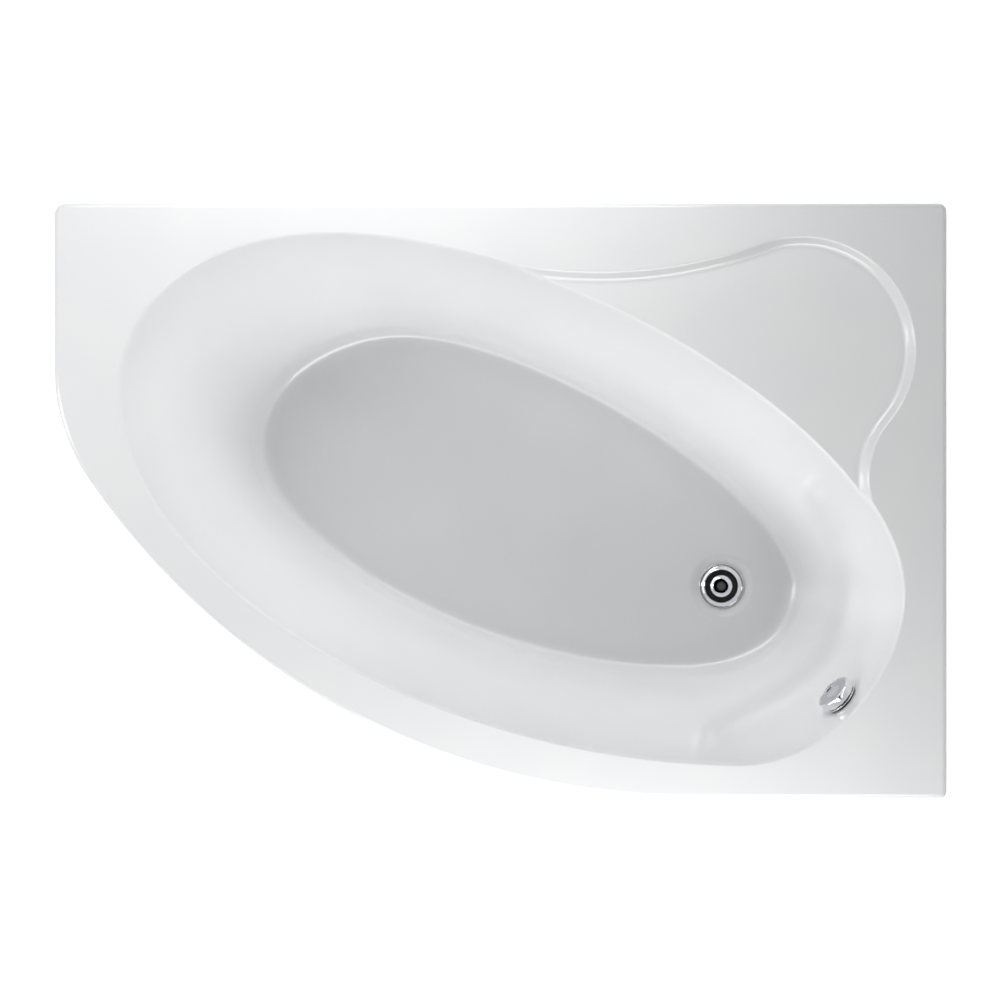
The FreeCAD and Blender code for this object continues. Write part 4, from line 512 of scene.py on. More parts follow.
circle = np.radians(np.arange(0, 360, 3.75))
around = np.column_stack((np.cos(circle), np.sin(circle)))
for radius in (WASTE_HOLE, 37.0, WASTE_SEAT, 40.5, 43.0, 46.0, 49.0, 52.0, 54.0, 56.0, 57.5):
    sunk = RECESS_DEPTH * (1 - eased((radius - WASTE_SEAT) / RECESS_SLOPE))
    gather(np.array(WASTE_AT) + radius * around, FLOOR_Z - sunk)
print("rings so far:", len(rings))

# %% [markdown]
# The shelf's step follows three arcs: a long sweep out of the back edge, the lobe at the corner, and
# a short neck into the right wall. Its rings stop just before the basin's rolled edge, whose own
# rings carry the step on from there.

# %% Rings of the shelf's step
def inside_ring(points, ring):
    """Which points lie inside a closed ring, by counting crossings."""
    x, y = points[:, 0][:, None], points[:, 1][:, None]
    x0, y0 = ring[:, 0][None], ring[:, 1][None]
    x1, y1 = np.roll(ring, -1, axis=0).T[:, None]
    crosses = (y0 > y) != (y1 > y)
    with np.errstate(divide="ignore", invalid="ignore"):
        at = x0 + (y - y0) * (x1 - x0) / (y1 - y0)
    return (crosses & (x < at)).sum(axis=1) % 2 == 1


def step_line(growth):
    """The shelf's outline, grown outwards, as one open line."""
    sweep, lobe, neck = SWEEP_RADIUS - growth, LOBE_RADIUS + growth, NECK_RADIUS - growth
    line = arc_points(SWEEP_CENTRE, sweep, SWEEP_END, SWEEP_BEARING - 180, 110)
    line += arc_points(LOBE_CENTRE, lobe, SWEEP_BEARING, NECK_BEARING, 120)
    line += arc_points(NECK_CENTRE, neck, NECK_BEARING + 180, NECK_END, 48)
    return np.array(line)


rim_edge = basin_ring(ROLL_SHARES[0] - BESIDE_ROLL, ROLL_POINTS)
step_kept = 0
for growth in (6.0, 4.0, 2.4, 0.8, -0.8, -2.4, -4.2, -6.2, -8.4, -10.6, -12.8, -15.0, -16.6, -18.0, -20.0):
    line = step_line(growth)
    keep_it = ~inside_ring(line, rim_edge)
    gather(line[keep_it], land_height(line[keep_it]), closed=False)
    step_kept += keep_it.sum()
print("points on the shelf's step:", step_kept)

# %% [markdown]
# The overflow's hole lies in the leaning wall. Its rim is a circle in the wall's tangent plane, and
# a few Newton steps find the share of the slope at each of its points, and so the height there.

# %% Ring of the overflow's hole
OVERFLOW_QUARTER, OVERFLOW_SHARE, OVERFLOW_DEPTH = 2, 0.49, 64.0


def share_at(point, t=OVERFLOW_SHARE, share=0.1):
    """The share of the slope at a point in plan on the overflow's quarter of the wall."""
    step = 1e-5
    for _ in range(12):
        here = np.array(quarter_point(OVERFLOW_QUARTER, t, share))
        along = (np.array(quarter_point(OVERFLOW_QUARTER, t + step, share)) - here) / step
        down = (np.array(quarter_point(OVERFLOW_QUARTER, t, share + step)) - here) / step
        change = np.linalg.solve(np.column_stack((along, down)), np.array(point) - here)
        t, share = t + change[0], share + change[1]
    return share


def overflow_axes():
    """The overflow's place on the wall, and the level, uphill and outward directions there."""
    share = (OVERFLOW_DEPTH - ROLL_DEPTH) / WALL_DROP

    def place(t, s):
        return Vector((*quarter_point(OVERFLOW_QUARTER, t, s), wall_height(s)))

    spot = place(OVERFLOW_SHARE, share)
    along = place(OVERFLOW_SHARE + 1e-3, share) - place(OVERFLOW_SHARE - 1e-3, share)
    out = along.cross(place(OVERFLOW_SHARE, share + 1e-3) - spot).normalized()
    out = out if out.z > 0 else -out
    level = Vector((0, 0, 1)).cross(out).normalized()
    return spot, level, out.cross(level), out


overflow_spot, overflow_level, overflow_up, overflow_out = overflow_axes()
hole_rings = []
for radius in (OVERFLOW_HOLE, OVERFLOW_HOLE + 1.5, OVERFLOW_HOLE + 4.0):
    flat = [overflow_spot + radius * (overflow_level * float(a) + overflow_up * float(b)) for a, b in around]
    plan = np.array([(p.x, p.y) for p in flat])
    hole_rings.append(plan)
    gather(plan, [wall_height(share_at(p)) for p in plan])
print("overflow at, mm:", [round(v, 1) for v in overflow_spot])

# %% [markdown]
# The rings are joined into one sheet. Points of the wall that would fall inside the overflow's hole
# are left out first, and triangles inside the two holes are left out after. The lip is then pulled
# down from the outer ring, and a 5 mm thickness is given to the sheet, away from the glossy side.

# %% The acrylic shell
ACRYLIC_SHEET = 5.0
WASTE_TRIANGLES_WITHIN = WASTE_HOLE - 0.2
LONGEST_EDGE = 60
INSIDE_THE_RINGS, SAME_POINT = 1, 1e-5
LIP_LEVELS = (555.0, 545.0, 536.0, LIP_BOTTOM)


def joined_sheet():
    points, heights, edges = [], [], []
    for number, (ring, levels, closed) in enumerate(rings):
        cut = inside_ring(ring, hole_rings[-1]) & (number < len(rings) - len(hole_rings))
        numbers = np.full(len(ring), -1)
        for i in np.flatnonzero(~cut):
            numbers[i] = len(points)
            points.append(Vector(ring[i]))
            heights.append(levels[i])
        for i in range(len(ring) if closed else len(ring) - 1):
            a, b = numbers[i], numbers[(i + 1) % len(ring)]
            gap = np.hypot(*(ring[i] - ring[(i + 1) % len(ring)]))
            if a >= 0 and b >= 0 and gap < LONGEST_EDGE:
                edges.append((int(a), int(b)))
    places, _, faces, sources = delaunay_2d_cdt(points, edges, [], INSIDE_THE_RINGS, SAME_POINT)[:4]
    level = [heights[s[0]] if s else None for s in sources]
    loose = level.count(None)
    middles = np.array([sum((places[i] for i in f), Vector((0, 0))) / 3 for f in faces])
    keep_face = np.hypot(*(middles - np.array(WASTE_AT)).T) > WASTE_TRIANGLES_WITHIN
    keep_face &= ~inside_ring(middles, hole_rings[0])
    faces = [f for f, kept in zip(faces, keep_face) if kept and None not in [level[i] for i in f]]
    return [(p.x, p.y, z if z is not None else RIM) for p, z in zip(places, level)], faces, loose


def make_shell():
    places, faces, loose = joined_sheet()
    sheet = bpy.data.meshes.new("acrylic_tub")
    sheet.from_pydata([(x * MM, y * MM, z * MM) for x, y, z in places], [], faces)
    build = bmesh.new()
    build.from_mesh(sheet)
    bmesh.ops.delete(build, geom=[v for v in build.verts if not v.link_faces], context="VERTS")
    start = (RIM - OUTER_ROUND) * MM
    edge = [e for e in build.edges if e.is_boundary and all(abs(v.co.z - start) < 1e-5 for v in e.verts)]
    for level in LIP_LEVELS:
        pulled = bmesh.ops.extrude_edge_only(build, edges=edge)["geom"]
        for v in pulled:
            if isinstance(v, bmesh.types.BMVert):
                v.co.z = level * MM
        edge = [e for e in pulled if isinstance(e, bmesh.types.BMEdge)]
    bmesh.ops.recalc_face_normals(build, faces=build.faces)
    top = max(build.faces, key=lambda f: f.calc_center_median().z)
    if top.normal.z < 0:
        bmesh.ops.reverse_faces(build, faces=build.faces)
    build.to_mesh(sheet)
    build.free()
    piece = new_object("acrylic_tub", sheet)
    thick = piece.modifiers.new("sheet_thickness", "SOLIDIFY")
    thick.thickness = ACRYLIC_SHEET * MM
    thick.offset = -1.0
    thick.use_even_offset = True
    return piece, loose


def evaluated_mesh(piece):
    """A plain mesh of a piece as its modifiers show it."""
    bpy.context.view_layer.update()
    return bpy.data.meshes.new_from_object(piece.evaluated_get(bpy.context.evaluated_depsgraph_get()))


def settle(piece):
    """Turns a piece with its modifiers into a plain mesh."""
    mesh = evaluated_mesh(piece)
    piece.modifiers.clear()
    piece.data = mesh
    return piece


def smooth_shaded(piece, sharp_degrees=35.0):
    piece.data.shade_smooth()
    piece.data.set_sharp_from_angle(angle=math.radians(sharp_degrees))
    return piece


def place_on(piece, body, slot, finish, *replaced):
    """The last words on every piece: its finish, its body and the node it stands for, which is hidden. The slot is
    not used.
    """
    set_finish(piece, finish)
    if replaced:
        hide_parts(*replaced)
    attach(piece, body)
    return piece


tub, loose_points = make_shell()
smooth_shaded(settle(tub), 50.0)
place_on(tub, "bath", "acrylic", acrylic, "bath_shell")
print("shell triangles:", len(tub.data.polygons), "crossings:", loose_points)

# %% [markdown]
# Turned pieces, such as the waste ring, start as a half section that is swept once round the axis.
# Points on the axis itself become one single vertex, so that no pole is left open. A closed section
# gives a closed piece.

# %% Turning
def skin(build, rows, around=True):
    """Faces between each row of vertices and the next. At a pole, equal corners count once."""
    count = len(rows[0])
    for near, far in zip(rows, rows[1:]):
        for i in range(count if around else count - 1):
            corners = list(dict.fromkeys((near[i], near[(i + 1) % count], far[(i + 1) % count], far[i])))
            if len(corners) > 2:
                build.faces.new(corners)


def turned(build, section, count=96, spot=(0.0, 0.0)):
    """Sweeps a closed section of (radius, height) in mm round an upright axis."""
    rows = []
    for radius, height in section:
        if radius < 1e-6:
            rows.append([build.verts.new((spot[0] * MM, spot[1] * MM, height * MM))] * count)
            continue
        angles = [2 * math.pi * i / count for i in range(count)]
        rows.append([build.verts.new(((spot[0] + radius * math.cos(a)) * MM,
                                      (spot[1] + radius * math.sin(a)) * MM, height * MM)) for a in angles])
    skin(build, rows + rows[:1])


def finished_mesh(build, name, matrix=None, sharp_degrees=35.0):
    """Closes a build: normals outward, smooth faces, and one object at the origin."""
    bmesh.ops.recalc_face_normals(build, faces=build.faces)
    if matrix is not None:
        build.transform(matrix)
    mesh = bpy.data.meshes.new(name)
    build.to_mesh(mesh)
    build.free()
    return smooth_shaded(new_object(name, mesh), sharp_degrees)


def bent(points):
    """Rounds the corners of a section: each inner point is cut twice, a quarter from its ends."""
    points = list(points)
    for _ in range(2):
        cut = []
        for (r0, z0), (r1, z1) in zip(points, points[1:]):
            cut += [(r0 * 0.75 + r1 * 0.25, z0 * 0.75 + z1 * 0.25), (r0 * 0.25 + r1 * 0.75, z0 * 0.25 + z1 * 0.75)]
        points = [points[0]] + cut + [points[-1]]
    return points


print("turning is ready")

# %% [markdown]
# The waste is what the eye goes to in the floor: a chrome ring with a narrow flat lip, a fine groove
# and a wide cone that rises to the seat. The cone's slope of 25 degrees matters, because it mirrors
# the bright walls, where a flat ring would mirror only the dark above. Below it hang the threaded
# tube and the spider of three arms that the plug's stem slides in.

# %% Waste ring
SEAT_LOW, TUBE_FOOT = 147.0, 118.0
RING_FACE = bent([(37.5, 147.0), (37.5, 148.6), (36.9, 149.2), (35.3, 149.4), (34.9, 148.6), (34.4, 148.5),
                  (28.3, 151.4), (27.6, 151.4), (27.35, 149.4)])
THREAD_PITCH, THREAD_TURNS = 2.0, 12
THREAD = [(radius, TUBE_FOOT + THREAD_PITCH * number + rise) for number in range(THREAD_TURNS)
          for radius, rise in ((24.0, 1.0), (24.5, 1.9))]
RING_SECTION = RING_FACE + [(21.5, 144.0), (21.5, TUBE_FOOT), (24.2, TUBE_FOOT)] + THREAD + [(24.0, SEAT_LOW)]


def bar_between(build, a, b, half_width, low, high):
    """A level bar from a to b in plan, in mm."""
    a, b = Vector(a), Vector(b)
    side = (b - a).normalized().orthogonal() * half_width
    corners = [build.verts.new((p.x * MM, p.y * MM, z * MM))
               for z in (low, high) for p in (a - side, b - side, b + side, a + side)]
    for face in ((3, 2, 1, 0), (4, 5, 6, 7), (0, 1, 5, 4), (1, 2, 6, 5), (2, 3, 7, 6), (3, 0, 4, 7)):
        build.faces.new([corners[i] for i in face])


SPIDER_LOW, SPIDER_HIGH, SPIDER_BORE, SPIDER_HUB = 125.0, 133.0, 4.05, 7.0
ARM_FROM, ARM_TO, ARM_HALF_WIDTH = 6.5, 21.9, 1.5


def make_waste_ring():
    build = bmesh.new()
    turned(build, RING_SECTION, 120, WASTE_AT)
    turned(build, [(SPIDER_BORE, SPIDER_LOW), (SPIDER_HUB, SPIDER_LOW), (SPIDER_HUB, SPIDER_HIGH),
                   (SPIDER_BORE, SPIDER_HIGH)], 40, WASTE_AT)
    hub = Vector(WASTE_AT)
    for bearing in (90, 210, 330):
        direction = Vector((math.cos(math.radians(bearing)), math.sin(math.radians(bearing))))
        bar_between(build, hub + direction * ARM_FROM, hub + direction * ARM_TO, ARM_HALF_WIDTH,
                    SPIDER_LOW, SPIDER_HIGH)
    return finished_mesh(build, "waste_ring", sharp_degrees=50.0)


place_on(make_waste_ring(), "bath", "chrome", chrome, "waste_flange")
print("waste ring across, mm:", 2 * RING_FACE[0][0])

# %% [markdown]
# The plug has three parts: a domed chrome cap with a turned edge, the black seal under it, which
# shows as a ring with a low bead near its lip, and the stem.

# %% Plug
DOME_EDGE, DOME_RISE, DOME_RADIUS, DOME_FULLNESS = 151.1, 4.4, 18.2, 2.6
DOME = [(r, DOME_EDGE + DOME_RISE * (1 - (r / DOME_RADIUS) ** DOME_FULLNESS))
        for r in (0.0, *np.linspace(1.2, 17.6, 22))]
CAP_EDGE = bent([(17.9, 151.2), (18.3, 151.1), (18.6, 150.9), (18.75, 150.6), (18.75, 150.1)])
SEAL_FACE = bent([(18.6, 150.0), (20.2, 149.8), (22.6, 149.9), (23.4, 150.5), (25.2, 150.5), (26.9, 150.3),
                  (27.0, 149.6), (22.7, 145.6)])


def make_plug():
    build = bmesh.new()
    turned(build, DOME + CAP_EDGE + [(0.0, 150.0)], 96, WASTE_AT)
    place_on(finished_mesh(build, "plug_dome", sharp_degrees=60.0), "plug", "chrome", chrome, "plug_cap")
    build = bmesh.new()
    turned(build, SEAL_FACE + [(4.0, 145.5), (4.0, 150.0)], 96, WASTE_AT)
    place_on(finished_mesh(build, "plug_lip_seal"), "plug", "black_rubber", seal_rubber, "plug_seal")


make_plug()
print("plug cap across, mm:", round(2 * CAP_EDGE[-1][0], 2))

# %% [markdown]
# The overflow knob is a die-cast and chromed handle with eight shallow sides. Its plan is worked out
# from eight wide arcs, and a smooth minimum rounds the corners between them. Rings of that plan, each
# a little smaller or larger, are stacked along the knob's axis: a rounded foot, the straight side, a
# rounded crown and a narrow lip round the face.

# %% Knob
KNOB_REACH, KNOB_SIDES, SIDE_ARC = 33.0, 8, 67.1
SIDE_SWELL, CORNER_SOFTNESS = 1.2, 0.5
KNOB_LOW, KNOB_TOP = 9.0, 24.0
knob_turn = np.radians(np.arange(0, 360, 1.5))


def knob_reach(angle):
    """Distance from the axis to the knob's side at each angle."""
    part = 2 * math.pi / KNOB_SIDES
    offset = KNOB_REACH * math.cos(part / 2) + SIDE_SWELL - SIDE_ARC
    local = (angle % part) - part / 2 + np.array([[0.0], [part], [-part]])
    sides = offset * np.cos(local) + np.sqrt(SIDE_ARC ** 2 - (offset * np.sin(local)) ** 2)
    return -CORNER_SOFTNESS * np.log(np.exp(-sides / CORNER_SOFTNESS).sum(axis=0))


def stack_rings(build, rings_of, closed=True):
    """Joins rings of equal count, each a list of points (x, y, z) in mm, and closes both ends."""
    rows = [[build.verts.new([c * MM for c in point]) for point in ring] for ring in rings_of]
    skin(build, rows)
    if closed:
        build.faces.new(rows[-1])
        build.faces.new(rows[0])


def knob_ring(inset, height):
    reach = knob_reach(knob_turn) - inset
    return [(r * math.cos(a), r * math.sin(a), height) for r, a in zip(reach, knob_turn)]


def round_ring(radius, height):
    return [(radius * math.cos(a), radius * math.sin(a), height) for a in knob_turn]


overflow_frame = (Matrix.Translation(overflow_spot * MM)
                  @ Matrix((overflow_level, overflow_up, overflow_out)).transposed().to_4x4())


def make_knob():
    build = bmesh.new()
    hollow = ((9.0, KNOB_LOW), (9.0, 17.9), (27.5, 17.9), (27.5, 9.4), (28.2, KNOB_LOW))
    outside = bent([(0.9, KNOB_LOW), (0.0, KNOB_LOW + 0.5), (0.0, 21.4), (0.3, 23.6), (2.2, KNOB_TOP),
                    (3.3, KNOB_TOP), (3.7, 23.3)])
    stack_rings(build, [round_ring(r, z) for r, z in hollow] + [knob_ring(i, z) for i, z in outside])
    return finished_mesh(build, "knob_body", overflow_frame, sharp_degrees=50.0)


place_on(make_knob(), "knob", "chrome", chrome, "overflow_knob")
print("knob across, mm:", round(2 * float(knob_reach(knob_turn).max()), 1))

# %% [markdown]
# The knob's face is a thin satin plate that follows the eight-sided plan and lies a little below the
# lip. It is dished by half a millimetre. Near one edge sits an oval mark: a chrome bezel round a dark
# well, which shows which way the knob is turned.

# %% Knob face and its mark
MARK_AT, MARK_HALF = (2.5, -19.0), (8.2, 3.2)


def make_face():
    build = bmesh.new()
    dish = [(3.75, 22.7), (3.75, 23.5), (4.1, 23.7), (6.0, 23.6), (10.0, 23.45), (18.0, 23.3), (26.0, 23.25)]
    stack_rings(build, [knob_ring(i, z) for i, z in dish])
    return finished_mesh(build, "knob_satin_plate", overflow_frame, sharp_degrees=50.0)


def oval_ring(grow, height):
    return [(MARK_AT[0] + (MARK_HALF[0] + grow) * math.cos(a), MARK_AT[1] + (MARK_HALF[1] + grow) * math.sin(a),
             height) for a in knob_turn[::4]]


def make_mark():
    build = bmesh.new()
    bezel = bent([(1.0, 23.2), (1.0, 23.95), (0.2, 24.0), (-0.4, 23.8), (-0.5, 23.3)])
    stack_rings(build, [oval_ring(g, z) for g, z in bezel], closed=False)
    bmesh.ops.holes_fill(build, edges=[e for e in build.edges if e.is_boundary])
    place_on(finished_mesh(build, "knob_mark_bezel", overflow_frame), "knob", "chrome", chrome)
    build = bmesh.new()
    stack_rings(build, [oval_ring(-0.5, 23.1), oval_ring(-0.5, 23.42), oval_ring(-1.2, 23.5)])
    place_on(finished_mesh(build, "knob_mark_well", overflow_frame), "knob", "black_rubber", seal_rubber)


place_on(make_face(), "knob", "satin_chrome", satin, "knob_face")
make_mark()
print("knob height over the wall, mm:", KNOB_TOP)

# %% [markdown]
# The apron is moulded in one sheet with a rounded nose along its top and bottom and a flange behind
# each. Its section is carried along the same outline as the rim, from the back wall round the front to
# the side wall. Every point of the section has its own inset, so the sweep stays true on the arcs.

# %% Apron
APRON_END_Y, APRON_END_X = 490.0, 740.0
APRON_OUT, APRON_LOW, APRON_HIGH = 4.0, 4.0, 528.0
APRON_SECTION = (bent([(20.0, APRON_LOW), (7.0, APRON_LOW), (APRON_OUT, APRON_LOW), (APRON_OUT, 9.0),
                       (APRON_OUT, 40.0)])
                 + [(APRON_OUT, 266.0)]
                 + bent([(APRON_OUT, 492.0), (APRON_OUT, 523.0), (APRON_OUT, APRON_HIGH), (7.0, APRON_HIGH),
                         (20.0, APRON_HIGH)])
                 + [(20.0, 524.0), (8.0, 524.0), (8.0, 8.0), (20.0, 8.0)])


def apron_line(inset):
    curve, end = front_points(inset)
    left = [(-LENGTH / 2 + inset, y) for y in np.linspace(APRON_END_Y, curve[0][1], 12, endpoint=False)]
    front = [(x, end[1]) for x in np.linspace(end[0], APRON_END_X, 16)]
    return left + curve + front


def make_apron():
    build = bmesh.new()
    rows = [[build.verts.new((x * MM, y * MM, height * MM)) for x, y in apron_line(inset)]
            for inset, height in APRON_SECTION]
    skin(build, rows + rows[:1], around=False)
    for end in (0, -1):
        build.faces.new([row[end] for row in rows])
    return finished_mesh(build, "front_apron", sharp_degrees=40.0)


place_on(make_apron(), "apron", "acrylic", acrylic, "apron_panel")
print("apron section points:", len(APRON_SECTION))

# %% [markdown]
# The overflow hose is blow-moulded and ribbed all along, so that it bends without kinking. One rib is
# modelled, and Geometry Nodes sets it at every 6.5 mm of the hose's line, each turned square to it. A
# plain inner wall runs through them. The line is straight out of the waste body, one wide bend, and
# straight up the back of the end wall.

# %% Line of the hose
HOSE_BEARING, HOSE_LEAN = math.radians(-43.579), math.radians(21.911)
PORT_HEIGHT, PORT_START, HOSE_RADIUS = 100.0, 38.0, 14.0
CUP_DEPTH, CUP_SPOUT = -35.0, 40.0
HOSE_RIB_EVERY, HOSE_RIB_REACH = 6.5, 16.2


def hose_line(step):
    """Points along the hose, every step mm."""
    out = Vector((math.cos(HOSE_BEARING), math.sin(HOSE_BEARING), 0))
    up = Vector((math.cos(HOSE_BEARING) * math.sin(HOSE_LEAN), math.sin(HOSE_BEARING) * math.sin(HOSE_LEAN),
                 math.cos(HOSE_LEAN)))
    start = Vector((*WASTE_AT, PORT_HEIGHT)) + out * PORT_START
    end = overflow_spot + overflow_out * CUP_DEPTH - up * CUP_SPOUT
    corner = end - up * ((end.z - start.z) / up.z)
    turn = math.pi / 2 - HOSE_LEAN
    reach = (corner - start).dot(out) - 2 * HOSE_RADIUS
    bend = reach / math.tan(turn / 2)
    leave, join = corner - out * reach, corner + up * reach
    square = (up - out * out.dot(up)).normalized()
    first, arc, last = (leave - start).length, bend * turn, (end - join).length
    places = []
    for along in np.linspace(0, first + arc + last, int((first + arc + last) / step) + 1):
        if along <= first:
            places.append(start + out * along)
        elif along <= first + arc:
            angle = (along - first) / bend
            places.append(leave + out * (bend * math.sin(angle)) + square * (bend * (1 - math.cos(angle))))
        else:
            places.append(join + up * (along - first - arc))
    return places


print("hose points:", len(hose_line(HOSE_RIB_EVERY)))

# %% [markdown]
# The node group takes the line as a curve, cuts it at an even spacing and puts a rib on each point.
# The rib's axis is turned to the curve's tangent. At the end the copies are made real and get their
# material, and the result is kept as a plain mesh.

# %% Ribs along the hose
def new_group(name, **inputs):
    """An empty node group for geometry, with the kind of socket of each further input."""
    group = bpy.data.node_groups.new(name, "GeometryNodeTree")
    for label, kind in {"Geometry": "Geometry", **inputs}.items():
        group.interface.new_socket(label, in_out="INPUT", socket_type="NodeSocket" + kind)
    group.interface.new_socket("Geometry", in_out="OUTPUT", socket_type="NodeSocketGeometry")
    return group


def make_rib_group():
    group = new_group("ribs_along_a_line", Rib="Object", Spacing="Float", Finish="Material")
    given = add(group, "NodeGroupInput")
    rib = add(group, "GeometryNodeObjectInfo", Object=given.outputs["Rib"])
    spaced = add(group, "GeometryNodeResampleCurve", {"mode": "LENGTH"}, Curve=given.outputs["Geometry"],
                 Length=given.outputs["Spacing"])
    tangent = add(group, "GeometryNodeInputTangent")
    turned_to = add(group, "FunctionNodeAlignRotationToVector", {"axis": "Z"}, Vector=tangent)
    placed = add(group, "GeometryNodeInstanceOnPoints", Points=spaced,
                 Instance=rib.outputs["Geometry"], Rotation=turned_to)
    real = add(group, "GeometryNodeRealizeInstances", Geometry=placed)
    done = add(group, "GeometryNodeSetMaterial", Geometry=real, Material=given.outputs["Finish"])
    add(group, "NodeGroupOutput", Geometry=done)
    return group


def set_inputs(modifier, **values):
    for item in modifier.node_group.interface.items_tree:
        if item.in_out == "INPUT" and item.name in values:
            modifier[item.identifier] = values[item.name]


def line_object(name, places):
    curve = bpy.data.curves.new(name, "CURVE")
    curve.dimensions = "3D"
    spline = curve.splines.new("POLY")
    spline.points.add(len(places) - 1)
    for point, place in zip(spline.points, places):
        point.co = (*(place * MM), 1.0)
    return new_object(name, curve)


def make_hose():
    build = bmesh.new()
    rib_section = [(10.4, -3.3), (13.4, -3.3), (13.6, -2.5), (14.6, -1.8), (15.9, -1.3), (HOSE_RIB_REACH, -0.5),
                   (HOSE_RIB_REACH, 0.5), (15.9, 1.3), (14.6, 1.8), (13.6, 2.5), (13.4, 3.3), (10.4, 3.3)]
    turned(build, rib_section, 40)
    rib = finished_mesh(build, "one_hose_rib")
    line = line_object("hose_line", hose_line(3.0))
    hose = new_object("ribbed_hose", line.data)
    ribs = hose.modifiers.new("ribs", "NODES")
    ribs.node_group = make_rib_group()
    set_inputs(ribs, Rib=rib, Spacing=HOSE_RIB_EVERY * MM, Finish=hose_polyethylene)
    baked = evaluated_mesh(hose)
    for spent in (hose, line, rib):
        bpy.data.objects.remove(spent)
    return smooth_shaded(new_object("ribbed_hose", baked), 40.0)


hose_piece = place_on(make_hose(), "bath", "hose_plastic", hose_polyethylene, "overflow_hose")
print("hose triangles:", sum(len(p.vertices) - 2 for p in hose_piece.data.polygons))

# %% [markdown]
# The rest of the metal, plastic and timber has the right shape already, but a CAD mesh has split
# edges and razor-sharp corners. So each such node gets a copy whose loose edges are joined and whose
# corners are broken by a small bevel, the size that a saw, a press or a mould leaves. The sprayed
# backing, the round cable and the thin-walled cup have no such corners and get no bevel. Round faces
# are then shaded smooth.

# %% Broken edges
EDGE_ROUND = {"galvanised_steel": 0.7, "zinc_steel": 0.35, "stainless": 0.25, "timber": 1.6, "chipboard": 0.6,
              "foot_plastic": 0.8, "white_plastic": 0.7, "black_rubber": 0.4, "magnet": 0.4, "chrome": 0.3,
              "cable_plastic": 0.0, "glass_fibre": 0.0}
KEPT_SHARP = {"overflow_cup"}
ROUND_ANGLE = 38.0
already = {"bath_shell", "apron_panel", "waste_flange", "plug_cap", "plug_seal", "overflow_knob", "knob_face",
           "overflow_hose"}


def eased_copy(name, width):
    source = nodes[name]
    build = bmesh.new()
    build.from_mesh(source.data)
    bmesh.ops.remove_doubles(build, verts=build.verts, dist=1e-6)
    bmesh.ops.dissolve_degenerate(build, edges=build.edges, dist=1e-6)
    bmesh.ops.recalc_face_normals(build, faces=build.faces)
    mesh = bpy.data.meshes.new(name + "_finished")
    build.to_mesh(mesh)
    build.free()
    piece = new_object(name + "_finished", mesh)
    if width:
        bevel = piece.modifiers.new("broken_edges", "BEVEL")
        bevel.width = width * MM
        bevel.segments = 2
        bevel.limit_method = "ANGLE"
        bevel.angle_limit = math.radians(ROUND_ANGLE)
        bevel.use_clamp_overlap = True
        settle(piece)
    return smooth_shaded(piece, ROUND_ANGLE)


triangles = 0
for name in sorted(nodes):
    if name in already:
        continue
    slot = slot_of[name]
    finish = nodes[name].data.materials[0]
    copy = eased_copy(name, 0.0 if name in KEPT_SHARP else EDGE_ROUND[slot])
    place_on(copy, body_of[name], slot, finish, name)
    triangles += sum(len(p.vertices) - 2 for p in copy.data.polygons)
print("triangles in the finished copies:", triangles)

# %% [markdown]
# The light is that of a small studio. A bright band runs all round at a height of about 25 to 40
# degrees, as white boards do, and the ceiling is dim. The walls of the basin face the band and turn
# bright, and its floor faces the dim ceiling and stays grey. Chrome shows both the band and the dark
# above it.

# %% Studio light
world = bpy.data.worlds.new("white_boards")
scene.world = world
world.use_nodes = True
sky = world.node_tree
sky.nodes.clear()
CURVE_TOP = 4.0
BAND = ((0.0, 0.10), (0.30, 0.15), (0.45, 1.15), (0.60, 1.40), (0.75, 0.12), (1.0, 0.08))
place = add(sky, "ShaderNodeTexCoord")
height = add(sky, "ShaderNodeSeparateXYZ", Vector=place.outputs["Generated"])
profile = add(sky, "ShaderNodeFloatCurve", Value=height.outputs["Z"])
line = profile.mapping.curves[0]
for at, strength in BAND[1:-1]:
    line.points.new(at, strength / CURVE_TOP)
for number in (0, -1):
    line.points[number].location = (BAND[number][0], BAND[number][1] / CURVE_TOP)
profile.mapping.update()
stronger = add(sky, "ShaderNodeMath", {"operation": "MULTIPLY"}, i0=profile, i1=CURVE_TOP)
glow = add(sky, "ShaderNodeBackground", Color=(1.0, 1.0, 1.0, 1.0), Strength=stronger)
add(sky, "ShaderNodeOutputWorld", Surface=glow)
scene.view_settings.view_transform = "Standard"
print("brightest part of the band:", max(strength for _, strength in BAND))

# %% [markdown]
# Three soft boxes hang close over the edges: at the back, at the front and at the left. None hangs at
# the right, so the rim falls off to grey there. The first two show as a white line in the cove. Four
# dim ones in the mouth of the basin face its walls and light them more than the floor. Nothing
# mirrors those four.

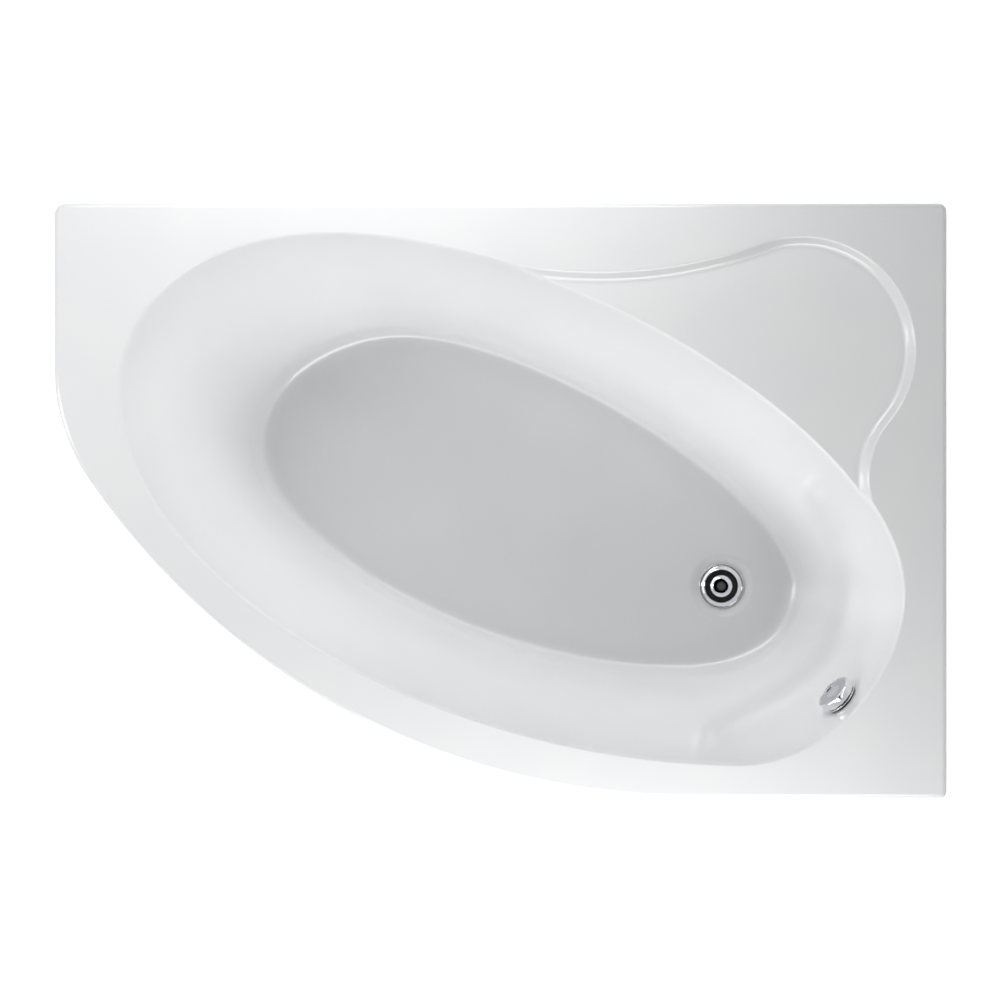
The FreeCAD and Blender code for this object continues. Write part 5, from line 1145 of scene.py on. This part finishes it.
# %% Soft boxes
SOFT_BOXES = (
    ("back_box", (-0.2, 0.85, 1.05), (-0.2, 0.2, 0.5), 1.1, 0.25, 3.8, True),
    ("front_box", (0.1, -0.95, 1.05), (0.05, -0.2, 0.5), 1.3, 0.25, 5.4, True),
    ("left_box", (-1.3, 0.0, 1.2), (-0.4, 0.1, 0.5), 0.25, 0.9, 3.2, True),
    ("wall_box_back", (0.0, 0.0, 0.62), (0.14, 0.38, 0.55), 0.7, 0.1, 0.2, False),
    ("wall_box_front", (0.0, 0.0, 0.62), (-0.14, -0.38, 0.55), 0.7, 0.1, 0.2, False),
    ("wall_box_left", (-0.1, 0.05, 0.62), (-0.5, 0.15, 0.55), 0.3, 0.1, 0.12, False),
    ("wall_box_right", (0.2, -0.08, 0.62), (0.6, -0.2, 0.55), 0.3, 0.1, 0.08, False))
for name, place, target, width, height, watts, mirrored in SOFT_BOXES:
    data = bpy.data.lights.new(name, "AREA")
    data.shape, data.size, data.size_y, data.energy = "RECTANGLE", width, height, watts
    box = new_object(name, data)
    box.location = place
    box.rotation_euler = (Vector(target) - Vector(place)).to_track_quat("-Z", "Y").to_euler()
    box.visible_camera, box.visible_glossy = False, mirrored
print("soft boxes:", len(SOFT_BOXES))

# %% [markdown]
# The floor is a plain pale sheet that is lit to full white, so that the bath stands free on the page
# as in a catalogue. It also throws light up under the rim. It lies 17 mm low, so that feet that are
# screwed out by 15 mm don't sink into it.

# %% Floor
FLOOR_REACH, FLOOR_LEVEL = 6.0, -0.017
floor_mesh = bpy.data.meshes.new("studio_floor")
corners = [(x * FLOOR_REACH, y * FLOOR_REACH, FLOOR_LEVEL) for x, y in ((-1, -1), (1, -1), (1, 1), (-1, 1))]
floor_mesh.from_pydata(corners, [], [(0, 1, 2, 3)])
floor = new_object("studio_floor", floor_mesh)
floor_finish, tree, shader = start_material("white_paper_sheet", "#F2F2F2", Roughness=0.9,
                                            Emission_Color=(1.0, 1.0, 1.0, 1.0), Emission_Strength=0.75)
fibre = add(tree, "ShaderNodeTexNoise", Vector=object_point(tree), Scale=cells_per(2.0), Detail=2.0)
plug_in(tree, shader, Normal=add(tree, "ShaderNodeBump", Height=fibre, Strength=0.1, Distance=0.0001))
set_finish(floor, floor_finish)
print("floor:", floor_finish.name)
